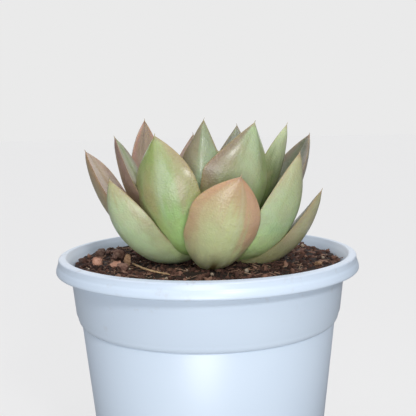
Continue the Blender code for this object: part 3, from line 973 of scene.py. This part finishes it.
@dataclass(frozen=True)
class Complexion:
    """A leaf's colours, some of them painted light, shade and highlights. Left and right are as seen from
    outside, tip up.
    """

    # the foot's colour: the leaf's own pale base, lightened further as painted light where the feet lie in
    # shade
    foot: str = "#a4ba78"
    middle: str = "#a3b587"
    tip: str = "#b4b492"
    flush: str = "#a98a72"
    inner: str = "#a4b28c"
    inner_flush: str = "#b39c86"
    left: float = 0.25  # how far the flush reaches in from each margin, as a share of the half width
    right: float = 0.25
    rising: float = 0.35  # share of the length from which the flush shows
    strength: float = 0.8
    keel: float = 0.0  # painted highlight: a pale line along the ridge
    scar: float = 0.0  # olive scar at the foot
    patches: tuple[Patch, ...] = ()


# colour of the painted highlight along a leaf's ridge
RIDGE_HIGHLIGHT = "#cdd2b9"
FRONT_PATCHES = (
    Patch("#d2a88c", 0.5, 1.2, 0.5, 1.1, 0.7),
    Patch("#c2cc9c", -0.55, 0.4, 0.22, 0.74, 0.75),
    Patch("#c8d49c", 0.3, 1.2, 0.12, 0.46, 0.7),
    # painted light: a near-white lower part lifts the shade at the leaf's foot
    Patch("#eef2c0", -1.2, 1.2, -0.3, 0.36, 0.75),
)
LEFT_PATCHES = (
    Patch("#949460", -1.2, -0.66, 0.15, 0.85, 0.7),
    Patch("#b89c78", -0.5, 0.0, 0.45, 0.8, 0.5),
    # painted highlight on the upper right of the blade
    Patch("#cfd2c0", 0.02, 0.4, 0.62, 0.84, 0.4),
    Patch("#96ab60", -0.8, 0.1, 0.82, 1.0, 0.75),
    Patch("#a49a74", 0.6, 1.2, 0.5, 0.97, 0.75),
    Patch("#99a35c", 0.78, 1.2, 0.1, 0.55, 0.8),
    Patch("#a6c886", 0.0, 0.75, 0.1, 0.5, 0.6),
)
RIGHT_PATCHES = (
    Patch("#8f8468", -1.2, -0.22, 0.4, 0.9, 0.45),
    Patch("#7f6a58", -1.2, -0.68, 0.42, 0.97, 0.75),
    Patch("#8f8c62", -1.2, -0.45, 0.12, 0.5, 0.7),
    # painted highlight down the middle of the blade
    Patch("#b9c4a4", -0.3, 0.24, 0.3, 0.95, 0.5),
    Patch("#98a870", 0.4, 1.2, 0.1, 0.92, 0.7),
)
# The pale feet are partly the leaves' own colour and partly painted light that lifts the shade there.
COMPLEXIONS: dict[int, Complexion] = {
    0: Complexion(
        "#f4f6c4", "#c2c496", "#b89878", "#c0957a", "#6d8650", "#8a7a58",
        0.5, 0.3, 0.3, 0.8, 0.2, 1.0, FRONT_PATCHES,
    ),
    2: Complexion("#dcdca0", "#a8a884", "#a09e80", "#a18f74", "#9b9a78", "#a18c72", 0.3, 0.3, 0.4, 0.6),
    3: Complexion(
        "#cfe0a6", "#acc094", "#b0b088", "#a48e74", "#a9b088", "#b09880", 0.4, 0.12, 0.35, 0.75, 0.1,
        patches=(Patch("#bccfa8", -0.6, 0.7, 0.05, 0.86, 0.7), Patch("#a8987c", 0.78, 1.2, 0.4, 0.95, 0.5)),
    ),
    5: Complexion(
        "#daf4a6", "#adc698", "#b1ac8a", "#a08970", "#8b9c70", "#a3877a", 0.12, 0.25, 0.6, 0.7,
        # the pale patch by the left margin is a painted highlight
        patches=(Patch("#c6d2b8", -1.1, -0.72, 0.45, 0.85, 0.3), Patch("#9fb57e", 0.3, 1.2, 0.1, 0.7, 0.5)),
    ),
    6: Complexion("#8d9268", "#a39e7a", "#a9957c", "#b0886f", "#bba587", "#be9786", 0.4, 0.4, 0.2, 0.8),
    # the dark foot is painted shade at the bottom of the leaf
    7: Complexion("#4d5c42", "#6f705a", "#d0d0bc", "#8f7568", "#6c735c", "#a08c80", 0.4, 0.4, 0.3, 0.7),
    8: Complexion(
        "#aecc78", "#93b076", "#a4b480", "#a58d70", "#8ea36c", "#a38a70",
        0.1, 0.3, 0.5, 0.7, 0.1, 0.0, LEFT_PATCHES,
    ),
    9: Complexion("#8f8e6c", "#a0907c", "#a89a86", "#9c8276", "#9e9080", "#9a7e74", 0.6, 0.6, 0.2, 0.9),
    10: Complexion(
        # the pale tip colour is a painted highlight
        "#6f7f4c", "#606e44", "#c6d0ac", "#86805e", "#86986a", "#98886c", 0.1, 0.15, 0.6, 0.5,
        patches=(Patch("#66744a", -1.2, 0.5, 0.3, 0.7, 0.7),),
    ),
    11: Complexion("#b2c48a", "#9c8a74", "#94807a", "#8f7670", "#a6b288", "#97827a", 0.9, 0.6, 0.15, 0.9),
    12: Complexion("#8d9a80", "#b0b4a6", "#bcbcb2", "#96807c", "#a8b0a0", "#968480", 0.3, 0.3, 0.6, 0.8),
    13: Complexion(
        "#d6ee9c", "#9cac82", "#a8bc96", "#94796a", "#8da074", "#98806f",
        0.2, 0.15, 0.3, 0.85, 0.15, 0.0, RIGHT_PATCHES,
    ),
    14: Complexion("#8c8a6c", "#a08c7c", "#d8d3ba", "#b08e86", "#c0ad9b", "#d8aca2", 0.7, 0.5, 0.2, 0.9),
    16: Complexion(
        "#b4cba0", "#97a88a", "#939c80", "#8f7c6a", "#a2ae94", "#9a8878", 0.5, 0.15, 0.2, 0.8, 0.05,
        patches=(Patch("#9a8f78", -1.2, -0.12, 0.3, 1.0, 0.8), Patch("#b6d2a6", -0.2, 1.2, 0.0, 0.5, 0.6)),
    ),
}
PLAIN_SKIN = Complexion()


@dataclass(frozen=True)
class LeafSkin:
    """The finish of one leaf: thick skin with a pebbled sheen, flushed along its margins."""

    complexion: Complexion
    keel_at: float
    seed: float
    pebble: float = 1700.0  # cells to the metre

    def outer(self, graph: Graph, along: Signal, across: Signal, streak: Signal) -> Signal:
        """Colour of the outer face."""
        tones = self.complexion
        stops = [(0.2, shade(tones.foot)), (0.55, shade(tones.middle)), (1.0, shade(tones.tip))]
        colour = graph.node("ShaderNodeValToRGB", {"stops": stops}, {0: along + 0.22 * (streak - 0.5)})
        wander = 0.55 * (streak - 0.5)
        aside, up = across + 1.1 * wander, along + 0.7 * wander
        for patch in tones.patches:
            inside = aside.step(patch.left - 0.2, patch.left + 0.2)
            inside = inside * (1 - aside.step(patch.right - 0.2, patch.right + 0.2))
            inside = inside * up.step(patch.low - 0.12, patch.low + 0.12)
            inside = inside * (1 - up.step(patch.high - 0.08, patch.high + 0.12))
            colour = graph.mix(inside * patch.strength, colour, shade(patch.colour))
        left = (-across + wander).step(1 - tones.left, 1.08)
        right = (across + wander).step(1 - tones.right, 1.08)
        rise = (along + 0.3 * (streak - 0.5)).step(tones.rising, tones.rising + 0.35)
        flush = left.at_least(right) * rise * tones.strength
        colour = graph.mix(flush, colour, shade(tones.flush))
        # painted highlight along the ridge, over the upper part of the blade
        ridge = 1 - abs(across - self.keel_at).step(0.01, 0.12)
        colour = graph.mix(ridge * along.step(0.3, 0.75) * tones.keel, colour, shade(RIDGE_HIGHLIGHT))
        beside = abs(across - 0.1 + 0.3 * (streak - 0.5)).step(0.03, 0.17)
        scar = (1 - beside) * (1 - along.step(0.34, 0.46))
        return graph.mix(scar * tones.scar, colour, shade("#6f5f1c"))

    def inner(self, graph: Graph, along: Signal, across: Signal, streak: Signal) -> Signal:
        """Colour of the inner face."""
        tones = self.complexion
        low, high = shade(tones.foot), shade(tones.inner)
        colour = graph.mix((along + 0.2 * (streak - 0.5)).step(0.1, 0.6), low, high)
        edge = (abs(across) + 0.5 * (streak - 0.5)).step(0.35, 1.05) * tones.strength
        return graph.mix(edge * along.step(0.1, 0.5), colour, shade(tones.inner_flush))

    def build(self, name: str) -> bpy.types.Material:
        """The material of a leaf whose mesh carries along, across and face."""

        def nodes(graph: Graph) -> Mapping[str, Any]:
            place = graph.place()
            along, across, face = (graph.attribute(key) for key in ("along", "across", "face"))
            drawn = graph.spread(across * 2.2, along * 1.7, self.seed)
            streak = graph.noise(drawn, 2.2, 4, 0.6)
            fibres = graph.noise(graph.spread(across * 14, along * 1.6, self.seed), 1.5, 2)
            mottle = graph.noise(place, 420, 4, 0.62)
            colour = graph.mix(
                face.step(-0.14, 0.14),
                self.inner(graph, along, across, streak),
                self.outer(graph, along, across, streak),
            )
            blotch = graph.noise(place, 150, 3, 0.6).step(0.42, 0.68)
            colour = graph.mix(0.18 * blotch, colour, shade("#b59c86"))
            for strength, pattern, low, high in (
                (0.34, mottle, "#6f6f6f", "#cfcfcf"),
                (0.1, fibres, "#6a6a62", "#d2d2c8"),
            ):
                veil = graph.mix(pattern, shade(low), shade(high))
                colour = graph.mix(strength, colour, veil, "SOFT_LIGHT")
            margin = abs(across).step(0.965, 0.995) * along.step(0.08, 0.3)
            colour = graph.mix(margin * 0.5, colour, shade("#857250"))
            tip = along.step(0.955, 0.995)
            colour = graph.mix(tip * 0.5, colour, shade("#8f6a5c"))
            pebbles = graph.cells(place, self.pebble, "SMOOTH_F1")
            dents = graph.noise(place, 170, 2)
            pebbled = graph.bump(pebbles, 0.00016, 0.85, graph.bump(dents, 0.0009, 0.45))
            return {
                "Base Color": colour,
                "Roughness": 0.36 + 0.16 * (mottle - 0.5) + 0.1 * (1 - along.step(0.0, 0.4)),
                "Normal": pebbled,
                "Coat Weight": 0.26,
                "Coat Roughness": 0.2,
                "Specular IOR Level": 0.35,
                "Subsurface Weight": 0.3,
                "Subsurface Radius": (0.9, 1.0, 0.4),
                "Subsurface Scale": 0.0025,
            }

        return new_finish(name, nodes)


@dataclass(frozen=True)
class Habit:
    """How one leaf departs from the rule of its order. Angles in degrees, lengths in millimetres."""

    turn: float = 0  # round the stem, counter-clockwise
    lean: float = 0  # sideways tilt of the whole leaf
    twist: float = 0  # turn of the blade about its midrib, base to tip
    longer: float = 0
    wider: float = 0
    lie: float = 0  # added to the slope at the stem
    stand: float = 0  # added to the slope at the tip
    curl: float = 1.9  # how early the midrib turns up
    point: float = 2.0  # fullness of the outline towards the tip
    keel_at: float = 0.0  # where the ridge runs, from -1 at the left margin to 1 at the right
    keel: float = 0.2  # how sharp the ridge is
    hook: float = 0.6  # sideways bend of the spine at the tip


HABITS: dict[int, Habit] = {
    0: Habit(turn=-2, lean=17, twist=-14, longer=1, stand=7, point=2.8, keel_at=0.28, keel=0.3),
    2: Habit(turn=-14, lean=-5, longer=-2, wider=-5, lie=-18, stand=-12, point=1.6),
    3: Habit(turn=-8, twist=-16, longer=-3, wider=-2, lie=-4, curl=1.4, point=1.6),
    5: Habit(turn=20, wider=3, lie=-15, twist=-4, point=1.7),
    6: Habit(turn=10, lean=2, twist=6, longer=1, wider=1, lie=-5, stand=-14, point=2.6),
    7: Habit(turn=-12, lean=-4, longer=3, lie=5, stand=-15),
    8: Habit(turn=-12, lean=-8, twist=6, longer=1, lie=-18, stand=10, curl=2.2, point=2.2, keel_at=0.1),
    9: Habit(turn=-12, lean=-4, wider=-5, point=1.3),
    10: Habit(lean=8, wider=-5, lie=20, stand=-13, curl=2.3, point=1.7),
    11: Habit(turn=-15, lean=8, twist=12, wider=-4, stand=-15, curl=2.3),
    12: Habit(turn=-4, longer=1, wider=-2, point=1.3),
    13: Habit(turn=6, lean=12, twist=-15, wider=5, curl=2.4, point=1.3, keel_at=0.3, keel=0.45),
    14: Habit(longer=7, lie=-18, stand=12, curl=1.6),
    15: Habit(turn=12, wider=-4),
    16: Habit(turn=20, lean=5, longer=6, wider=-3, stand=5, curl=2.1, point=1.3, keel_at=0.1, keel=0.6),
    18: Habit(turn=10, wider=-3),
    19: Habit(longer=-3),
}
PLAIN_HABIT = Habit()


@dataclass(frozen=True)
class Stops:
    """A value that changes with the leaf's number, straight between stops."""

    stops: tuple[tuple[float, float], ...]

    def at(self, order: float) -> float:
        """Value at a leaf's number."""
        for (low, first), (high, last) in zip(self.stops, self.stops[1:]):
            if order <= high:
                return first + (last - first) * (order - low) / (high - low)
        return self.stops[-1][1]


@dataclass(frozen=True)
class Growth:
    """The rosette's rule of growth, from the oldest leaf, 0, to the youngest."""

    golden_angle: float = 137.5
    first_azimuth: float = 275
    count: int = 27
    old: int = 17
    lengths: Stops = Stops(((0, 49), (6, 55), (9, 50), (14, 48), (15, 40), (26, 18)))
    widths: Stops = Stops(((0, 24), (8, 25), (14, 22), (17, 17), (26, 7)))
    lies: Stops = Stops(((0, -20), (7, 2), (14, 18), (16, 36), (26, 74)))
    stands: Stops = Stops(((0, 72), (9, 86), (26, 96)))
    thickness: float = 6.0 * MM
    thinning_first: int = 9
    thinning: float = 0.17 * MM
    seat: float = 0.7 * MM
    foot_height: float = 2.1 * MM
    spacing: float = 0.46 * MM
    bud_first: int = 19
    bud_closing: float = 0.45 * MM


@dataclass(frozen=True)
class Leaf:
    """One leaf: its rule, its habit and its skin."""

    order: int
    growth: Growth
    stem_radius: float
    soil_top: float
    cupping: float = 0.24
    widest_at: float = 0.62
    thickest_at: float = 0.42
    foot_width: float = 0.22
    foot_thickness: float = 0.40
    outer_share: float = 0.62
    edge: float = 0.35 * MM  # half thickness of the rounded margin
    spine: float = 1.0 * MM  # length of the fine point at the tip
    wave: float = 0.09  # waviness of the margins, as a share of the half width
    stations: int = 60
    round: int = 56  # points round a section

    @property
    def name(self) -> str:
        """The leaf's node in the frame."""
        young = self.order - self.growth.old
        return f"leaf_{self.order + 1:02d}" if young < 0 else f"young_leaf_{young + 1:02d}"

    @property
    def habit(self) -> Habit:
        """How the leaf departs from the rule."""
        return HABITS.get(self.order, PLAIN_HABIT)

    @property
    def length(self) -> float:
        """Length along the midrib."""
        return (self.growth.lengths.at(self.order) + self.habit.longer) * MM

    def half_width(self, share: float) -> float:
        """Half the blade's width at a share of its length."""
        full = 0.5 * (self.growth.widths.at(self.order) + self.habit.wider) * MM
        if share < self.widest_at:
            swell = math.sin(0.5 * math.pi * share / self.widest_at) ** 0.8
            return full * (self.foot_width + (1 - self.foot_width) * swell)
        beyond = (share - self.widest_at) / (1 - self.widest_at)
        return full * (1 - 0.985 * beyond**self.habit.point)

    def thick(self, share: float) -> float:
        """Thickness at a share of the length."""
        full = self.growth.thickness - self.growth.thinning * max(0, self.order - self.growth.thinning_first)
        if share < self.thickest_at:
            swell = math.sin(0.5 * math.pi * share / self.thickest_at)
            return full * (self.foot_thickness + (1 - self.foot_thickness) * swell)
        beyond = (share - self.thickest_at) / (1 - self.thickest_at)
        return full * (1 - 0.95 * beyond**2.1)

    def midrib(self) -> list[tuple[float, float, float, float]]:
        """Share of the length, reach, rise and slope at each station."""
        strides = 6
        stride = self.length / (self.stations * strides)
        lie = self.growth.lies.at(self.order) + self.habit.lie
        stand = self.growth.stands.at(self.order) + self.habit.stand
        reach = rise = 0.0
        found = []
        for number in range(self.stations * strides + 1):
            share = number / (self.stations * strides)
            slope = math.radians(lie + (stand - lie) * (1 - (1 - share) ** self.habit.curl))
            if number % strides == 0:
                found.append((share, reach, rise, slope))
            reach += stride * math.cos(slope)
            rise += stride * math.sin(slope)
        return found

    def section(self, share: float) -> list[tuple[float, float, float, float]]:
        """A ring of points: sideways, outwards, across from -1 to 1, and face from -1, inner, to 1, outer."""
        half, thick = self.half_width(share), self.thick(share)
        swing = self.wave * smooth(0.2, 0.5, share)
        places = (Vector((4.5 * share, 3.1 * self.order, side)) for side in (0.0, 7.7))
        waves = [1 + swing * noise.noise(place) for place in places]
        keel, ridge = self.habit.keel_at, self.habit.keel * smooth(0.15, 0.85, share)
        edge = self.edge * min(1.0, half / (3 * MM))
        ring = []
        for number in range(self.round):
            angle = math.tau * number / self.round - 0.5 * math.pi
            across, face = math.sin(angle), math.cos(angle)
            if face > 0:
                aside = (across - keel) / (1 - keel) if across > keel else (keel - across) / (1 + keel)
                crown = (1 - ridge) * (1 - abs(across) ** 2.2) + ridge * max(0.0, 1 - aside) ** 1.25
                out = self.outer_share * thick * crown + edge * face
            else:
                channel = 0.12 * thick * math.exp(-((across / 0.16) ** 2)) * smooth(0.2, 0.7, share)
                out = -(1 - self.outer_share) * thick * (1 - across**2) + channel + edge * face
            reach = half * across * (1 + (waves[across > 0] - 1) * across**2)
            ring.append((reach, out - self.cupping * half * across**2, across, face))
        return ring

    def spot(self, share: float, reach: float, rise: float, slope: float, side: float, out: float) -> Vector:
        """A point of the blade, in the row's frame.

        Args:
            share: share of the length.
            reach: of the midrib, from the leaf's base.
            rise: of the midrib.
            slope: of the midrib, in radians.
            side: distance from the midrib across the blade.
            out: distance from the midrib towards the outer face.

        Returns:
            The point.
        """
        habit, growth = self.habit, self.growth
        closing = growth.bud_closing * max(0, self.order - growth.bud_first)
        azimuth = math.radians(growth.first_azimuth - growth.golden_angle * self.order + habit.turn)
        outwards = Vector((math.cos(azimuth), math.sin(azimuth), 0))
        sideways = Vector((-math.sin(azimuth), math.cos(azimuth), 0))
        twist, lean = math.radians(habit.twist) * share, math.radians(habit.lean)
        across = side * math.cos(twist) - out * math.sin(twist)
        depth = side * math.sin(twist) + out * math.cos(twist)
        distance = self.stem_radius + growth.seat - closing + reach + depth * math.sin(slope)
        height = rise - depth * math.cos(slope)
        tilted = across * math.cos(lean) + height * math.sin(lean)
        lifted = height * math.cos(lean) - across * math.sin(lean)
        base = self.soil_top + growth.foot_height + growth.spacing * self.order
        return outwards * distance + sideways * tilted + Vector((0, 0, base + lifted))

    def mesh(self) -> bpy.types.Mesh:
        """The leaf as one closed mesh that carries along, across and face."""
        places: list[Vector] = []
        carried: dict[str, list[float]] = {"along": [], "across": [], "face": []}
        for share, reach, rise, slope in self.midrib():
            for side, out, across, face in self.section(share):
                spot = self.spot(share, reach, rise, slope, side, out)
                dent = noise.noise(spot / (9 * MM)) * 0.16 * MM * smooth(0.0, 0.2, share)
                spot = self.spot(share, reach, rise, slope, side, out + dent * face)
                places.append(spot)
                for key, value in (("along", share), ("across", across), ("face", face)):
                    carried[key].append(value)
        self._add_spine(places, carried)
        rings = len(places) // self.round
        faces = []
        for ring in range(rings - 1):
            for number in range(self.round):
                after = (number + 1) % self.round
                low, high = ring * self.round, (ring + 1) * self.round
                faces.append((low + number, low + after, high + after, high + number))
        faces.append(tuple(range(self.round)))
        faces.append(tuple((rings - 1) * self.round + number for number in range(self.round)))
        mesh = bpy.data.meshes.new(self.name)
        mesh.from_pydata([tuple(spot) for spot in places], [], faces)
        for key, values in carried.items():
            mesh.attributes.new(key, "FLOAT", "POINT").data.foreach_set("value", values)
        shape = bmesh.new()
        shape.from_mesh(mesh)
        bmesh.ops.recalc_face_normals(shape, faces=shape.faces)
        shape.to_mesh(mesh)
        shape.free()
        mesh.shade_smooth()
        return mesh

    def _add_spine(self, places: list[Vector], carried: dict[str, list[float]]) -> None:
        """Carry the last ring on to a fine point that bends to one side."""
        share, reach, rise, slope = self.midrib()[-1]
        length = self.spine * min(1.0, self.length / (40 * MM))
        ring = self.section(1.0)
        for step, size in ((0.3, 0.8), (0.6, 0.6), (0.85, 0.38), (1.0, 0.1)):
            on = length * step
            bend = self.habit.hook * 0.5 * length * step**2
            for side, out, across, face in ring:
                far = (reach + on * math.cos(slope), rise + on * math.sin(slope))
                places.append(self.spot(share, *far, slope, side * size + bend, out * size))
                for key, value in (("along", 1.0), ("across", across), ("face", face)):
                    carried[key].append(value)

    def build(self) -> bpy.types.Object:
        """The leaf, in place of the solid one."""
        complexion = COMPLEXIONS.get(self.order, PLAIN_SKIN)
        skin = LeafSkin(complexion, self.habit.keel_at, 1.7 * self.order + 0.4)
        piece = add_piece(f"{self.name}_blade", self.mesh(), skin.build(f"{self.name}_skin"))
        slot = "leaf" if self.order < self.growth.old else "young_leaf"
        return report(piece, slot, self.name)


@dataclass
class Rosette:
    """The plant: a short stem and its leaves."""

    soil: SoilBed
    stem_radius: float = 3.9 * MM
    stem_tip_radius: float = 2.7 * MM
    stem_rise: float = 10.6 * MM
    stem_depth: float = 12.0 * MM
    growth: Growth = field(default_factory=Growth)

    def build_stem(self) -> bpy.types.Object:
        """The stem, ringed by old leaf scars."""
        tip, top = self.soil.top + self.stem_rise, self.soil.top
        shoulder = (0.6 * self.stem_tip_radius, tip - 0.3 * MM)
        profile = [(0.0, tip), shoulder, (self.stem_tip_radius, tip - 1.4 * MM)]
        for number in range(9):
            share = number / 8
            radius = self.stem_tip_radius + (self.stem_radius - self.stem_tip_radius) * share
            z = tip - 2 * MM - (self.stem_rise - 2 * MM) * share
            profile += [(radius, z + 0.3 * MM), (radius - 0.25 * MM, z)]
        foot = top - self.stem_depth + 0.6 * MM
        profile += [(0.8 * self.stem_radius, foot), (0.0, foot - 0.3 * MM)]
        finish = BarkFinish("stem_bark", shade("#5d5a34"), shade("#7f8250"), shade("#a3a070")).build()
        piece = add_piece("stem", turned("stem", profile, 48), finish)
        return report(piece, "stem", "rosette_stem")

    def build(self) -> None:
        """The stem and every leaf."""
        self.build_stem()
        for order in range(self.growth.count):
            Leaf(order, self.growth, self.stem_radius, self.soil.top).build()


# Studio ---------------------------------------------------------------------------------------


@dataclass
class Studio:
    """Camera, soft light and a plain pale floor."""

    eye: Vector = field(default_factory=lambda: Vector((0.56, -236.8, 137.3)) * MM)
    look: Vector = field(default_factory=lambda: Vector((0.56, 0.0, 110.8)) * MM)
    roll: float = math.radians(-1.08)
    lens: float = 56.4
    key_from: Point3 = (-0.08, -1.0, 0.1)
    key_strength: float = 1.9
    key_spread: float = math.radians(30)
    fill_from: Point3 = (0.0, 1.0, 0.4)
    fill_strength: float = 1.1
    fill_spread: float = math.radians(70)
    box_from: Point3 = (0.11, -0.38, 0.30)
    box_side: float = 0.055
    box_power: float = 0.6
    floor_radius: float = 30.0
    floor_colour: Colour = (0.27, 0.27, 0.27, 1.0)
    floor_glow: Colour = (0.57, 0.57, 0.57, 1.0)
    backdrop: Colour = shade("#eaeaea")
    sides: Colour = (0.05, 0.05, 0.052, 1.0)
    overhead: Colour = (1.4, 1.4, 1.44, 1.0)

    def build_camera(self) -> None:
        """The camera, at the object's front and a little above it."""
        ahead = (self.look - self.eye).normalized()
        right = ahead.cross(Vector((0, 0, 1))).normalized()
        up = right.cross(ahead)
        tipped = right * math.cos(self.roll) + up * math.sin(self.roll)
        upright = up * math.cos(self.roll) - right * math.sin(self.roll)
        data = bpy.data.cameras.new("camera")
        data.lens = self.lens
        data.sensor_width = 36
        data.clip_start = 0.01
        camera = bpy.data.objects.new("camera", data)
        turn = Matrix((tipped, upright, -ahead)).transposed()
        camera.matrix_world = Matrix.Translation(self.eye) @ turn.to_4x4()
        bpy.context.scene.collection.objects.link(camera)
        bpy.context.scene.camera = camera

    @staticmethod
    def add_light(name: str, kind: str, spot: Sequence[float], target: Sequence[float]) -> bpy.types.Object:
        """A light that shines from a spot at a target."""
        made = bpy.data.objects.new(name, bpy.data.lights.new(name, kind))
        made.location = Vector(spot)
        made.rotation_euler = (Vector(target) - Vector(spot)).to_track_quat("-Z", "Y").to_euler()
        bpy.context.scene.collection.objects.link(made)
        return made

    def build_lights(self) -> None:
        """A broad low key, a softer fill from behind, and a softbox that draws the leaves' highlights."""
        middle = (0, 0, 0.11)
        suns = (
            ("key", self.key_from, self.key_strength, self.key_spread),
            ("fill", self.fill_from, self.fill_strength, self.fill_spread),
        )
        for name, spot, strength, spread in suns:
            sun = self.add_light(name, "SUN", spot, middle)
            sun.data.energy = strength
            sun.data.angle = spread
        box = self.add_light("softbox", "AREA", self.box_from, middle)
        box.data.shape = "SQUARE"
        box.data.size = self.box_side
        box.data.energy = self.box_power

    def build_world(self) -> None:
        """Soft light from overhead, dim at the sides, and a plain pale backdrop."""
        world = bpy.data.worlds.new("studio")
        world.use_nodes = True
        graph = Graph(world.node_tree)
        background = world.node_tree.nodes["Background"]
        ahead = graph.node("ShaderNodeTexCoord", output="Generated")
        rise = graph.node("ShaderNodeSeparateXYZ", inputs={0: ahead}, output="Z")
        light = graph.mix(rise.step(0.35, 1.0), self.sides, self.overhead)
        seen = graph.node("ShaderNodeLightPath", output="Is Camera Ray")
        colour = graph.mix(seen, light, self.backdrop)
        world.node_tree.links.new(colour.socket, background.inputs["Color"])
        bpy.context.scene.world = world

    def build_floor(self) -> None:
        """A large plain floor of lit paper, as pale as the backdrop."""
        shape = bmesh.new()
        bmesh.ops.create_circle(shape, cap_ends=True, radius=self.floor_radius, segments=96)

        def nodes(graph: Graph) -> Mapping[str, Any]:
            seen = graph.node("ShaderNodeLightPath", output="Is Camera Ray")
            glow = graph.mix(seen, (0.0, 0.0, 0.0, 1.0), self.floor_glow)
            return {
                "Base Color": self.floor_colour,
                "Roughness": 1.0,
                "Specular IOR Level": 0.0,
                "Emission Color": glow,
                "Emission Strength": 1.0,
            }

        paper = new_finish("floor_paper", nodes)
        floor = add_piece("floor", mesh_of("floor", shape, outwards=False), paper)
        floor.visible_shadow = False  # the low key's light comes from under the horizon too

    def build(self) -> None:
        """The whole studio."""
        self.build_camera()
        self.build_lights()
        self.build_world()
        self.build_floor()
        bpy.context.scene.view_settings.view_transform = "Standard"


def main() -> None:
    """Build the potted succulent and its studio."""
    logging.basicConfig(level=logging.INFO, format="%(name)s: %(message)s")
    pot = NurseryPot()
    pot.build()
    soil = SoilBed(pot)
    soil.build()
    Litter(pot, soil).build()
    Rosette(soil).build()
    Studio().build()


if __name__ == "__main__":
    main()
